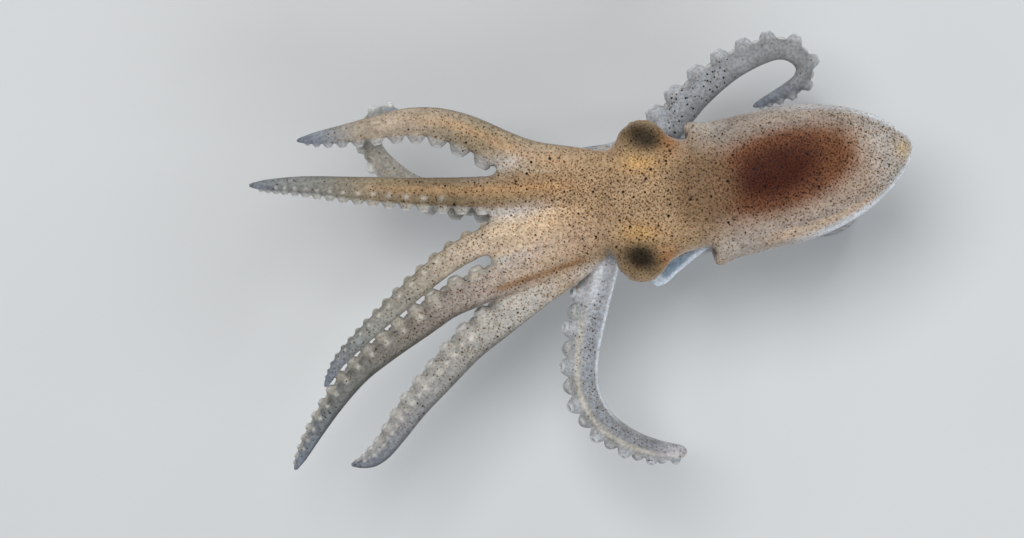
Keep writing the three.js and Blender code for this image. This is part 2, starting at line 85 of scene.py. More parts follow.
# Each arm: its route, root radius, the power its radius falls by, the share held in the web, the side
# its suckers are on (+1 the left of its own direction), how far that side is turned up, in degrees,
# the share of its length where its suckers begin (sooner by WEBBED_START if the web holds much of it), their
# radius as a share of the arm's beside them, their spacing in a row and the height of their stalks, in
# their own radii, and how fast the tip widens.
ARMS = {
    "right_1": dict(
        route=[
            (-5.5, -0.1, 0.6), (-8.2, 0.1, 1.3), (-12, 0, 1.2), (-16.5, -0.2, 1.2), (-21, -0.1, 1.0),
            (-25.5, 0.15, 0.6), (-29.25, 0.38, 0.3), (-33.2, 0.33, 0.2),
        ],
        root=1.45, power=0.42, web=0.4, side=1, tilt=-36, suckers=0.33, cups=0.42, pitch=3.0,
    ),
    "right_2": dict(
        route=[
            (-5.5, 0.9, 0.1), (-8.2, 1.6, 0.4), (-12, 2.3, 0.6), (-14.25, 3.25, 0.6), (-16.5, 4.25, 0.5),
            (-18.75, 4.95, 0.4), (-21, 5.1, 0.3), (-23.25, 4.75, 0.3), (-25.5, 4.28, 0.2), (-29.6, 3.66, 0),
        ],
        root=1.75, power=0.48, web=0.41, side=1, tilt=-38, suckers=0.34, cups=0.48, pitch=3.3,
    ),
    "right_3": dict(
        route=[
            (-6.6, 0.4, -1.2), (-7.2, 1.2, -2.8), (-6.4, 2.1, -4.0), (-5.0, 2.6, -4.4), (-3.4, 3.2, -4.2),
            (-1.65, 4.65, -3.6), (0.75, 7.35, -2.9), (3.75, 9.6, -2.3), (6.75, 10.65, -2.1),
            (8.1, 10.2, -2.1), (8.7, 9.3, -2.1), (8.4, 8.35, -2.1), (7.4, 7.6, -2.1), (4.7, 6.25, -2.1),
        ],
        root=1.45, power=0.46, web=0.12, side=1, tilt=-32, suckers=0.27, cups=0.56, pitch=3.4, stalk=0.5,
    ),
    "right_4": dict(
        route=[
            (-6.6, -0.3, -1.4), (-8.6, -0.4, -2.7), (-11.25, -0.6, -3.1), (-15, -0.7, -3.2),
            (-18.75, -0.4, -3.1), (-20.8, 0.2, -2.9), (-22.6, 1.5, -2.7), (-23.85, 3.1, -2.5),
            (-24.1, 4.5, -2.4), (-23.6, 5.55, -2.4), (-22.5, 5.85, -2.4), (-21.5, 5.25, -2.4),
            (-21.05, 4.0, -2.4),
        ],
        root=1.5, power=0.45, web=0.24, side=1, tilt=-25, suckers=0.22, cups=0.44, pitch=3.7,
    ),
    "left_1": dict(
        route=[
            (-5.5, -1.2, 0.6), (-8.2, -1.9, 1.25), (-12.75, -3.0, 1.1), (-15.75, -4.0, 0.9),
            (-18, -5.25, 0.7), (-20.25, -7.05, 0.5), (-22.5, -9.1, 0.2), (-24.75, -11.25, 0),
            (-26.3, -12.9, -0.2), (-27.45, -14.9, -0.3),
        ],
        root=1.25, power=0.42, web=0.42, side=-1, tilt=-68, suckers=0.36, cups=0.45, pitch=3.2,
    ),
    "left_2": dict(
        route=[
            (-5.5, -2.2, 0.1), (-8.2, -3.9, 0.2), (-12.75, -6.15, 0), (-15.75, -7.5, -0.1),
            (-18, -8.5, -0.2), (-20.25, -10.13, -0.4), (-22.5, -11.78, -0.6), (-24.75, -13.65, -0.8),
            (-26.6, -15.9, -1.0), (-28.1, -18.2, -1.1), (-29.75, -21.15, -1.2),
        ],
        root=1.4, power=0.4, web=0.39, side=-1, tilt=-20, suckers=0.34, cups=0.5, pitch=3.1,
    ),
    "left_3": dict(
        route=[
            (-5.8, -2.4, -1.0), (-8.4, -5.2, -1.2), (-12, -8.03, -1.4), (-14.25, -9.9, -1.7),
            (-16.5, -11.8, -1.9), (-18.75, -14.25, -2.0), (-20.6, -16.35, -2.1), (-22.1, -18.4, -2.2),
            (-23.25, -19.85, -2.3), (-24.3, -20.5, -2.3), (-25.6, -20.7, -2.3),
        ],
        root=1.45, power=0.33, web=0.35, side=-1, tilt=-14, suckers=0.32, cups=0.53, pitch=2.9, taper=0.26,
    ),
    "left_4": dict(
        route=[
            (-6.6, -1.4, -1.4), (-6.6, -2.8, -2.6), (-6.5, -5.0, -3.0), (-7.0, -7.5, -3.0),
            (-7.5, -9.75, -2.8), (-7.9, -12, -2.6), (-8.0, -13.5, -2.5), (-7.85, -15, -2.4),
            (-7.3, -16.4, -2.4), (-6.4, -17.6, -2.4), (-5.1, -18.55, -2.5), (-3.75, -19.2, -2.6),
            (-2.0, -19.65, -2.8), (-0.85, -19.75, -3.2), (-0.35, -19.75, -4.1),
        ],
        root=1.42, power=0.28, web=0.17, side=-1, tilt=-8, suckers=0.25, cups=0.45, pitch=4.9, stalk=0.5,
        taper=1.0,
    ),
}
WEBS = [
    ("right_1", "right_2", 0.4, 0.41), ("right_1", "left_1", 0.4, 0.42), ("left_1", "left_2", 0.42, 0.39),
    ("left_2", "left_3", 0.39, 0.35), ("left_3", "left_4", 0.12, 0.15), ("left_4", "right_4", 0.16, 0.2),
    ("right_4", "right_3", 0.16, 0.11), ("right_3", "right_2", 0.1, 0.14),
]
TIP_RADIUS = 0.13  # at an arm's very end
TAPER = 0.22  # how fast an arm's radius grows from its tip
VOXEL = 0.11  # of the remeshed skin
CELL_TURN = 27  # degrees, so that the colour cells line up with no axis
# The least radius, each row's angle from the middle of the sucker side, and the stalk's height in radii.
SUCKER = dict(least=0.12, apart=31, stalk=0.2)
WEBBED_START = 0.12  # of the length: how much sooner the suckers begin on an arm that the web holds
WEBBED = 0.3  # an arm is held by the web if more than this share of it is
LAST_SUCKER = 0.985  # the share of the length that no sucker stands beyond


def place(points):
    """Own-axes millimetres to frame metres."""
    return np.asarray(points, float) * MM + ORIGIN


# ---------------------------------------------------------------- curves and sweeps
def curve_points(route, count):
    """Evenly spaced points on a centripetal Catmull-Rom curve through the route."""
    p = np.array(route, float)
    p = np.vstack([2 * p[0] - p[1], p, 2 * p[-1] - p[-2]])
    dense = []
    for a, b, c, d in zip(p[:-3], p[1:-2], p[2:-1], p[3:]):
        t0 = 0.0
        t1 = t0 + np.linalg.norm(b - a) ** 0.5
        t2 = t1 + np.linalg.norm(c - b) ** 0.5
        t3 = t2 + np.linalg.norm(d - c) ** 0.5
        t = np.linspace(t1, t2, 40, endpoint=False)[:, None]
        a1 = (t1 - t) / (t1 - t0) * a + (t - t0) / (t1 - t0) * b
        a2 = (t2 - t) / (t2 - t1) * b + (t - t1) / (t2 - t1) * c
        a3 = (t3 - t) / (t3 - t2) * c + (t - t2) / (t3 - t2) * d
        b1 = (t2 - t) / (t2 - t0) * a1 + (t - t0) / (t2 - t0) * a2
        b2 = (t3 - t) / (t3 - t1) * a2 + (t - t1) / (t3 - t1) * a3
        dense.append((t2 - t) / (t2 - t1) * b1 + (t - t1) / (t2 - t1) * b2)
    dense = np.vstack(dense + [p[-2:-1]])
    run = np.concatenate([[0], np.cumsum(np.linalg.norm(np.diff(dense, axis=0), axis=1))])
    want = np.linspace(0, run[-1], count)
    return np.stack([np.interp(want, run, dense[:, k]) for k in range(3)], axis=1), run[-1]


def turns(count):
    """Evenly spaced angles, once round."""
    return np.linspace(0, 2 * math.pi, count, endpoint=False)


def circle(count, first, second):
    """A circle of radius 1 that starts along the first way and turns towards the second."""
    turn = turns(count)
    return np.outer(np.cos(turn), first) + np.outer(np.sin(turn), second)


def rise(x, low, high):
    """A smooth step up: 0 as far as low, 1 from high."""
    t = np.clip((x - low) / (high - low), 0, 1)
    return t * t * (3 - 2 * t)


def fall(x, low, high):
    """A smooth step down: 1 as far as low, 0 from high."""
    return rise(-x, -high, -low)


def unit(v):
    return v / np.maximum(np.linalg.norm(v, axis=-1, keepdims=True), 1e-12)


def frames_along(points, side, tilt):
    """At each point: the way along, towards the sucker side, and across."""
    along = unit(np.gradient(points, axis=0))
    level = unit(np.cross([0, 0, 1], along)) * side
    up = np.cross(along, level) * side
    turn = math.radians(tilt)
    oral = level * math.cos(turn) + up * math.sin(turn)
    return along, oral, np.cross(along, oral)


def arm_radius(arm, u, length):
    full = arm["root"] * np.maximum(0, 1 - u) ** arm["power"]
    return np.maximum(TIP_RADIUS, np.minimum(full, TIP_RADIUS + arm.get("taper", TAPER) * (1 - u) * length))


class ArmLine:
    """An arm's centre line, sampled finely, with its frame and radius at each sample."""

    def __init__(self, arm, count=240):
        self.arm = arm
        self.points, self.length = curve_points(arm["route"], count)
        self.u = np.linspace(0, 1, count)
        self.along, self.oral, self.across = frames_along(self.points, arm["side"], arm["tilt"])
        self.radius = arm_radius(arm, self.u, self.length)

    def at(self, u):
        """Point, along, oral, across and radius at a share of the length."""
        def pick(table):
            return np.array([np.interp(u, self.u, table[:, k]) for k in range(3)])

        along, oral, across = (unit(pick(table)) for table in (self.along, self.oral, self.across))
        return pick(self.points), along, oral, across, float(np.interp(u, self.u, self.radius))


LINES = {name: ArmLine(arm) for name, arm in ARMS.items()}


# ---------------------------------------------------------------- closed forms, as (points, faces)
def loft(rings):
    """A closed form through rings of equal count; the first and last are closed to their middles."""
    rings = np.asarray(rings)
    n, m = rings.shape[:2]
    points = np.vstack([rings.reshape(-1, 3), rings[0].mean(0), rings[-1].mean(0)])
    faces = []
    for i in range(n - 1):
        for j in range(m):
            k = (j + 1) % m
            faces.append((i * m + j, i * m + k, (i + 1) * m + k, (i + 1) * m + j))
    first, last = n * m, n * m + 1
    for j in range(m):
        k = (j + 1) % m
        faces.append((first, k, j))
        faces.append((last, (n - 1) * m + j, (n - 1) * m + k))
    return points, faces


def ellipsoid(centre, radii, around=48, along=24):
    polar = np.linspace(0, math.pi, along + 1)[1:-1]
    turn = turns(around)
    rings = [
        np.stack([np.full(around, math.cos(p)), math.sin(p) * np.cos(turn), math.sin(p) * np.sin(turn)], 1)
        for p in polar
    ]
    points, faces = loft(rings)
    points[-2] = (1, 0, 0)
    points[-1] = (-1, 0, 0)
    return points * np.array(radii) + np.array(centre), faces


def arm_form(name):
    """The arm's round body, a little flattened on the sucker side, with a rounded tip."""
    line = LINES[name]
    turn = turns(28)
    rings = []
    for i in range(0, len(line.u), 2):
        to_tip = (1 - line.u[i]) * line.length
        r = line.radius[i] * math.sqrt(max(0.02, 1 - max(0, 1 - to_tip / 0.3) ** 2))
        c, s = np.cos(turn), np.sin(turn)
        flat = 1 - 0.1 * np.maximum(0, c) ** 3
        ring = line.points[i] + r * (np.outer(c * flat, line.oral[i]) + np.outer(s, line.across[i]))
        rings.append(ring)
    return loft(rings)


def web_form(first, second, reach_a, reach_b):
    """The web between two arms: a sheet ruled between their lines, thick at its root, its edge dipped."""
    a, b = LINES[first], LINES[second]
    steps, ways = 40, 22
    top = np.zeros((steps, ways, 3))
    thick = np.zeros((steps, ways))
    for j, v in enumerate(np.linspace(0, 1, ways)):
        reach = 1 - 0.14 * math.sin(math.pi * v)
        for i, s in enumerate(np.linspace(0, reach, steps)):
            point_a, *_, radius_a = a.at(0.02 + (reach_a - 0.02) * s)
            point_b, *_, radius_b = b.at(0.02 + (reach_b - 0.02) * s)
            top[i, j] = point_a * (1 - v) + point_b * v
            mean_radius = radius_a * (1 - v) + radius_b * v
            thick[i, j] = mean_radius * (0.97 - 0.72 * (s / reach) ** 4 * math.sin(math.pi * v) ** 0.5)
    normal = unit(np.cross(np.gradient(top, axis=1), np.gradient(top, axis=0)))
    upper = top + normal * thick[..., None]
    lower = top - normal * thick[..., None]
    points = np.vstack([upper.reshape(-1, 3), lower.reshape(-1, 3)])
    faces = []
    low = steps * ways
    for i in range(steps - 1):
        for j in range(ways - 1):
            q = (i * ways + j, i * ways + j + 1, (i + 1) * ways + j + 1, (i + 1) * ways + j)
            faces.append(q)
            faces.append(tuple(low + k for k in reversed(q)))
    edge = [(i, 0) for i in range(steps)] + [(steps - 1, j) for j in range(1, ways)]
    edge += [(i, ways - 1) for i in range(steps - 2, -1, -1)] + [(0, j) for j in range(ways - 2, 0, -1)]
    for (i, j), (k, m) in zip(edge, edge[1:] + edge[:1]):
        faces.append((i * ways + j, k * ways + m, low + k * ways + m, low + i * ways + j))
    return points, faces


def mantle_half_width(x):
    t = np.maximum(0, x - MANTLE["full_until"]) / (MANTLE["length"] - MANTLE["full_until"])
    return MANTLE["half_width"] * np.maximum(0, 1 - t * t) ** MANTLE["tip_power"]


def mantle_ring(x, half_width, flare=0.0, around=96):
    """A ring across the mantle, a little deeper underneath, its flare left out on the back."""
    turn = turns(around)
    reach = half_width + flare * fall(np.sin(turn), 0.1, 0.6)
    z = np.sin(turn) * reach * MANTLE["half_height"] / MANTLE["half_width"]
    z = np.where(z < 0, z * MANTLE["belly"], z)
    return np.stack([np.full(around, x), np.cos(turn) * reach, z], axis=1)


def mantle_form():
    """The mantle from its tip to the collar, over the collar's rounded rim and into its front opening."""
    rim, flare = MANTLE["rim"], MANTLE["flare"]
    rings = []
    for a in np.linspace(math.pi / 2 - 0.02, 0.0, 70):
        x = MANTLE["length"] * math.sin(a)
        flared = flare * math.exp(-((x / MANTLE["flare_length"]) ** 2))
        rings.append(mantle_ring(x, float(mantle_half_width(x)), flared))
    outer = float(mantle_half_width(0.0))
    for a in np.linspace(0, math.pi, 10)[1:]:
        rings.append(mantle_ring(-rim * math.sin(a), outer - rim + rim * math.cos(a), flare))
    for x in np.linspace(0.3, MANTLE["cavity_depth"], 8):
        rings.append(mantle_ring(x, outer - 2 * rim - 0.12 * x, flare))
    points, faces = loft(rings)
    yaw = math.radians(MANTLE["yaw"])
    turned = points.copy()
    turned[:, 0] = points[:, 0] * math.cos(yaw) - points[:, 1] * math.sin(yaw)
    turned[:, 1] = points[:, 0] * math.sin(yaw) + points[:, 1] * math.cos(yaw)
    return turned + np.array(MANTLE["collar"]), faces


def nape_form():
    """The neck: from inside the head, past the cheeks behind the eyes, to inside the mantle."""
    around = 72
    turn = turns(around)
    wide, tall = np.cos(turn), np.sin(turn)
    square = np.where(tall > 0, 2.7, 2.2)
    reach = (np.abs(wide) ** square + np.abs(tall) ** square) ** (-1 / square)
    table = np.array(NAPE)
    rings = []
    for x in np.linspace(table[0, 0], table[-1, 0], 34):
        middle, half_width, up, down = (np.interp(x, table[:, 0], table[:, k]) for k in (1, 2, 3, 4))
        z = reach * tall * np.where(tall > 0, up, down)
        rings.append(np.stack([np.full(around, x), middle + reach * wide * half_width, z], axis=1))
    return loft(rings)


def eye_axes(side):
    """The eye's own axes: outward, a little drooping, and its own up."""
    droop = math.radians(EYE["droop"])
    outward = np.array([0, side * math.cos(droop), -math.sin(droop)])
    return outward, np.array([0, side * math.sin(droop), math.cos(droop)])


def eye_form(side):
    """The eye's bulge with its socket, and raised lids round the opening: one closed form."""
    outward, upward = eye_axes(side)
    ball = np.array([EYE["x"], EYE["y"] + side * EYE["ball_out"], EYE["ball_up"]])
    bulge = np.array([EYE["x"], EYE["y"] + side * EYE["bulge_out"], EYE["bulge_up"]])
    around = 72
    turn = turns(around)
    wide, tall = np.cos(turn), np.sin(turn)
    opening = 1 / np.sqrt((wide / EYE["half_length"]) ** 2 + (tall / EYE["half_height"]) ** 2)

    def ring(centre, reach, out):
        """A ring about the eye's axis: reach from the axis each way round, and how far out."""
        across = np.outer(reach * wide, (1, 0, 0)) + np.outer(reach * tall, upward)
        return centre + across + np.outer(np.broadcast_to(out, around), outward)

    def skin_at(reach):
        return EYE["bulge_reach"] * np.sqrt(np.maximum(0, 1 - (reach / EYE["bulge"]) ** 2))

    rings = []
    for p in np.linspace(math.pi * 0.98, math.pi / 2, 18):
        reach = np.full(around, EYE["bulge"] * math.sin(p))
        rings.append(ring(bulge, reach, EYE["bulge_reach"] * math.cos(p)))
    for t in np.sin(np.linspace(0.05, 1, 18) * math.pi / 2):
        reach = EYE["bulge"] * (1 - t) + (opening + 0.3) * t
        rings.append(ring(bulge, reach, skin_at(reach)))
    for grow, lift in ((0.2, 0.1), (0.11, 0.13), (0.03, 0.08), (0.0, -0.05), (0.04, -0.2)):
        rings.append(ring(bulge, opening + grow, skin_at(opening + grow) + lift))
    socket = EYE["ball"] + 0.06
    for p in np.linspace(0.8, math.pi * 0.97, 18):
        rings.append(ring(ball, np.full(around, socket * math.sin(p)), socket * math.cos(p)))
    return loft(rings)


def funnel_form():
    """The funnel: a tapering tube with a rolled lip and an open bore."""
    steps = 60
    end = steps - 1
    points, length = curve_points(FUNNEL["route"], steps)
    along, oral, across = frames_along(points, 1, 0)

    def ring(i, radius, shift=0.0):
        return points[i] + along[i] * shift + radius * circle(40, oral[i], across[i])

    rings = []
    mouth = FUNNEL["lip"] * FUNNEL["end"]
    for i in range(steps):
        radius = FUNNEL["root"] + (FUNNEL["end"] - FUNNEL["root"]) * min(1, 1.25 * i / end)
        from_end = (end - i) / end * length
        closing = max(0, 1 - from_end / FUNNEL["rounding"]) * math.sqrt(1 - FUNNEL["lip"] ** 2)
        rings.append(ring(i, radius * math.sqrt(1 - closing ** 2)))
    rim = (mouth - FUNNEL["bore"]) / 2
    for a in np.linspace(0, math.pi, 8)[1:]:
        rings.append(ring(end, mouth - rim + rim * math.cos(a), rim * math.sin(a)))
    back = int(end * (1 - FUNNEL["bore_depth"] / length))
    for i in range(end - 2, back, -2):
        rings.append(ring(i, FUNNEL["bore"]))
    return loft(rings)


def lip_form():
    """The round lip about the mouth."""
    around = 40
    turn = turns(around)
    rings = []
    for a in np.linspace(-math.pi / 2, math.pi * 0.9, 12):
        r = MOUTH["lip"] - 0.1 + 0.22 * math.cos(a)
        x = -0.22 * math.sin(a)
        rings.append(np.stack([np.full(around, x), r * np.cos(turn), r * np.sin(turn)], axis=1))
    points, faces = loft([rings[0] + (0.9, 0, 0)] + rings + [rings[-1] * (1, 0.6, 0.6) + (0.35, 0, 0)])
    return points + np.array(MOUTH["centre"]), faces


# ---------------------------------------------------------------- suckers
# Where a sucker stands: the middle of its foot, its outward way, the way along the arm, its radius, and the
# middle of the pale spot beside it on the arm's back.
Seat = namedtuple("Seat", "point outward along radius back")


def sucker_seats(name):
    """The seats of all suckers of an arm, from its root, in two rows by turns."""
    line = LINES[name]
    arm = line.arm
    seats = []
    row = 1
    first = arm["suckers"] - (WEBBED_START if arm["web"] > WEBBED else 0)
    u = first
    while u < LAST_SUCKER:
        point, along, oral, across, beside = line.at(u)
        radius = arm["cups"] * beside * min(1, 0.8 + 2 * (u - first))
        if radius < SUCKER["least"]:
            break
        turn = math.radians(SUCKER["apart"]) * row
        outward = unit(oral * math.cos(turn) + across * math.sin(turn))
        back = point + beside * unit(outward * 0.5 + np.array([0, 0, 1.0]))
        height = beside * 0.93 + radius * arm.get("stalk", SUCKER["stalk"])
        seats.append(Seat(point + outward * height, outward, along, radius, back))
        u += arm["pitch"] * radius / 2 / line.length
        row = -row
    return seats


SEATS = {name: sucker_seats(name) for name in ARMS}
# The outline of half a sucker's stalk, from inside the arm outward: (radius, height), in rim radii.
STALK_OUTLINE = [
    (1.1, -1.6), (1.55, -0.5), (1.36, -0.1), (1.24, 0.2), (1.13, 0.42), (0.98, 0.6), (0.76, 0.74),
]


def mound_forms(name):
    """The short stalks of skin that the suckers stand on."""
    forms = []
    for seat in SEATS[name]:
        round_it = circle(20, seat.along, np.cross(seat.outward, seat.along))
        rings = [seat.point + seat.radius * (seat.outward * h + round_it * r) for r, h in STALK_OUTLINE]
        forms.append(loft(rings))
    return forms


def mesh_from(name, forms):
    """One mesh object, in millimetres, from several closed (points, faces) forms, all facing outward."""
    points, faces, start = [], [], 0
    for p, f in forms:
        points.append(p)
        faces.extend(tuple(start + k for k in face) for face in f)
        start += len(p)
    mesh = bpy.data.meshes.new(name)
    mesh.from_pydata(np.vstack(points).tolist(), [], faces)
    mesh.update()
    work = bmesh.new()
    work.from_mesh(mesh)
    bmesh.ops.recalc_face_normals(work, faces=work.faces)
    work.to_mesh(mesh)
    work.free()
    obj = bpy.data.objects.new(name, mesh)
    bpy.context.scene.collection.objects.link(obj)
    return obj


def points_of(mesh):
    co = np.zeros(len(mesh.vertices) * 3)
    mesh.vertices.foreach_get("co", co)
    return co.reshape(-1, 3)


def set_points(mesh, points):
    mesh.vertices.foreach_set("co", np.asarray(points, np.float32).ravel())
    mesh.update()


def normals_of(mesh):
    n = np.zeros(len(mesh.vertices) * 3)
    mesh.vertices.foreach_get("normal", n)
    return n.reshape(-1, 3)


def neighbours(mesh):
    """The two ends of every edge, and how many edges meet at each point."""
    edges = np.zeros(len(mesh.edges) * 2, np.int64)
    mesh.edges.foreach_get("vertices", edges)
    a, b = edges.reshape(-1, 2).T
    return a, b, np.bincount(edges, minlength=len(mesh.vertices))[:, None]


def averaged(points, ring):
    """For each point, the mean of the points that it shares an edge with."""
    a, b, count = ring
    n = len(points)
    total = [np.bincount(a, points[b, k], n) + np.bincount(b, points[a, k], n) for k in range(3)]
    return np.stack(total, axis=1) / count


def smoothed(points, ring, rounds):
    """Taubin smoothing: rounds off the voxels without shrinking the form."""
    for factor in (0.55, -0.57) * rounds:
        points = points + factor * (averaged(points, ring) - points)
    return points


def relaxed(points, ring, rounds, weight):
    """Plain averaging where weight says so: turns creases into soft fillets."""
    for _ in range(rounds):
        points = points + 0.5 * weight[:, None] * (averaged(points, ring) - points)
    return points


def softness(points):
    """Where the forms flow into each other: over the crown, over the nape and round the eyes' bulges."""
    x, y, z = points.T
    crown = fall(x, -7.5, -6.0) * rise(x, -16.5, -13.0) * rise(z, -1.2, 0.0)
    nape = rise(x, -2.6, -1.4) * fall(x, 3.0, 4.6) * rise(z, 0.4, 1.8)
    aside = np.abs(y - EYE["y"])
    brow = rise(x, -6.6, -5.8) * fall(x, -1.2, -0.4) * fall(aside, 4.5, 5.1)
    brow *= rise(z, -2.6, -1.6)
    return np.maximum(np.maximum(crown, nape), brow)


def keep_largest_shell(mesh):
    """Takes out the specks that the remesh leaves in narrow gaps: only the largest connected shell stays."""
    a, b, _ = neighbours(mesh)
    shell = np.arange(len(mesh.vertices))
    while (shell[a] != shell[b]).any():
        low = np.minimum(shell[a], shell[b])
        np.minimum.at(shell, shell[a], low)
        np.minimum.at(shell, shell[b], low)
        shell = shell[shell]
    specks = shell != np.bincount(shell).argmax()
    work = bmesh.new()
    work.from_mesh(mesh)
    bmesh.ops.delete(work, geom=[v for v, out in zip(work.verts, specks) if out], context="VERTS")
    work.to_mesh(mesh)
    work.free()


def skin_object():
    """All the flesh as one surface: the forms joined by a fine voxel remesh, then smoothed."""
    forms = [
        mantle_form(), nape_form(), ellipsoid(HEAD["centre"], HEAD["radii"]), eye_form(1), eye_form(-1),
        ellipsoid(CROWN["centre"], CROWN["radii"]), funnel_form(), lip_form(),
    ]
    forms += [arm_form(name) for name in ARMS]
    forms += [web_form(*web) for web in WEBS]
    for name in ARMS:
        forms += mound_forms(name)
    obj = mesh_from("skin", forms)
    remesh = obj.modifiers.new("join", "REMESH")
    remesh.mode = "VOXEL"
    remesh.voxel_size = VOXEL
    remesh.use_smooth_shade = True
    mesh = bpy.data.meshes.new_from_object(obj.evaluated_get(bpy.context.evaluated_depsgraph_get()))
    obj.modifiers.clear()
    keep_largest_shell(mesh)
    obj.data = mesh
    ring = neighbours(mesh)
    points = smoothed(points_of(mesh), ring, 4)
    points = relaxed(points, ring, 160, softness(points))
    set_points(mesh, points)
    return obj


# ---------------------------------------------------------------- what the skin's paint goes by
def chunks(count, size=20000):
    """Slices that cover count points, so that the tables of distances stay small."""
    return [slice(start, start + size) for start in range(0, count, size)]


def squared_distances(points, others):
    """A table of the squared distances from each point to each of the others."""
    return (points ** 2).sum(1)[:, None] + (others ** 2).sum(1) - 2 * points @ others.T


def arm_facts(points):
    """For each point, the nearest arm: its number, the share along it, how near its middle the point is,
    and the point's offsets towards the sucker side, level and up, in arm radii."""
    best = np.full(len(points), np.inf)
    which = np.zeros(len(points), int)
    facts = {key: np.zeros(len(points)) for key in ("share", "level", "up", "oral")}
    for k, line in enumerate(LINES.values()):
        level = unit(np.cross([0, 0, 1], line.along)) * line.arm["side"]
        for chunk in chunks(len(points)):
            p = points[chunk]
            d2 = squared_distances(p, line.points)
            near = d2.argmin(1)
            d = np.sqrt(np.maximum(0, d2[np.arange(len(p)), near])) / line.radius[near]
            closer = d < best[chunk]
            offset = (p - line.points[near]) / line.radius[near][:, None]
            found = dict(share=line.u[near], level=(offset * level[near]).sum(1), up=offset[:, 2],
                         oral=(offset * line.oral[near]).sum(1))
            for key, values in found.items():
                facts[key][chunk] = np.where(closer, values, facts[key][chunk])
            best[chunk] = np.where(closer, d, best[chunk])
            which[chunk] = np.where(closer, k, which[chunk])
    return dict(facts, which=which, near=best)


def stalk_nearness(points):
    """How near each point is to a sucker's stalk: 1 on it."""
    seats = [seat for row in SEATS.values() for seat in row]
    centres = np.array([seat.point + 0.3 * seat.radius * seat.outward for seat in seats])
    sizes = np.array([seat.radius for seat in seats])
    nearness = np.zeros(len(points))
    for chunk in chunks(len(points)):
        d2 = squared_distances(points[chunk], centres)
        nearness[chunk] = (np.sqrt(np.maximum(0, d2)) / sizes).min(1)
    return fall(nearness, 1.15, 1.95)


def mantle_place(points):
    """Each point in the mantle's own axes: along it from the collar, and across it."""
    yaw = math.radians(MANTLE["yaw"])
    x = points[:, 0] - MANTLE["collar"][0]
    y = points[:, 1] - MANTLE["collar"][1]
    return x * math.cos(yaw) + y * math.sin(yaw), -x * math.sin(yaw) + y * math.cos(yaw)


def ridge(value, middle, width):
    """1 where a value is at the middle, falling off softly to both sides."""
    return np.exp(-(((value - middle) / width) ** 2))


def tint(r, g, b):
    """A colour given as it shows on a screen, 0 to 255, in linear light."""
    c = np.array([r, g, b]) / 255
    return np.where(c <= 0.04045, c / 12.92, ((c + 0.055) / 1.055) ** 2.4)


def painted(colour, target, weight):
    """A colour moved towards another, as far as weight says."""
    return colour + (target - colour) * np.clip(weight, 0, 1)[..., None]


NAMES = list(ARMS)
LOW_ARMS = ("right_3", "left_4", "right_4")  # these hang under the others and are pale
# How an arm's back changes colour from the web towards its tip: (share of the length, colour).
PALE = [(0.15, (160, 158, 159)), (0.35, (156, 159, 165)), (0.65, (134, 136, 138)), (0.82, (128, 129, 130)),
        (0.92, (120, 124, 133))]
TONES = dict(  # the arms that aren't here are PALE
    right_1=[(0.15, (164, 137, 106)), (0.45, (117, 103, 82)), (0.65, (142, 127, 104)),
             (0.8, (124, 124, 119)), (0.92, (124, 127, 128))],
    right_2=[(0.15, (166, 146, 122)), (0.45, (145, 133, 113)), (0.7, (170, 155, 138)),
             (0.8, (158, 146, 130)), (0.92, (134, 140, 148))],
    # right_4 is partly its own cream and partly painted light: lightened where the arms above cast shade on
    # it.
    right_4=[(0.15, (168, 166, 162)), (0.4, (160, 160, 156)), (0.6, (158, 154, 147)),
             (0.75, (162, 158, 149)), (0.9, (140, 143, 146))],
    left_1=[(0.15, (206, 180, 148)), (0.42, (188, 172, 153)), (0.6, (152, 145, 133)),
            (0.8, (136, 137, 133))],
    left_2=[(0.15, (178, 160, 140)), (0.35, (160, 149, 141)), (0.55, (124, 118, 111)),
            (0.8, (106, 108, 106))],
    left_3=[(0.15, (176, 160, 142)), (0.3, (182, 177, 170)), (0.55, (150, 148, 143)),
            (0.8, (134, 134, 137))],
)
TIP_TONE = (112, 119, 131)  # of every arm's very end
# What the suckers' colours tend to. The arms that aren't here have the plain tint.
SUCKER_TINTS = dict(
    left_1=(176, 170, 158), left_2=(174, 168, 156), left_3=(176, 172, 164), right_1=(188, 186, 182),
    # right_4's near white is painted light, lifting the shade that the arms above cast on its suckers.
    right_4=(222, 221, 218),
)
PLAIN_SUCKER_TINT = (170, 173, 178)


def arm_tone(name, share):
    """The colour of an arm's back at a share of its length."""
    shares, colours = zip(*TONES.get(name, PALE), (1.0, TIP_TONE))
    tones = np.array([tint(*colour) for colour in colours])
    return np.stack([np.interp(share, shares, tones[:, k]) for k in range(3)], axis=-1)


def sucker_tone(name, share):
    """The paler, greyer colour of an arm's suckers and their stalks."""
    own = tint(*SUCKER_TINTS.get(name, PLAIN_SUCKER_TINT))
    return painted(arm_tone(name, share), own, np.full(np.shape(share), 0.65))


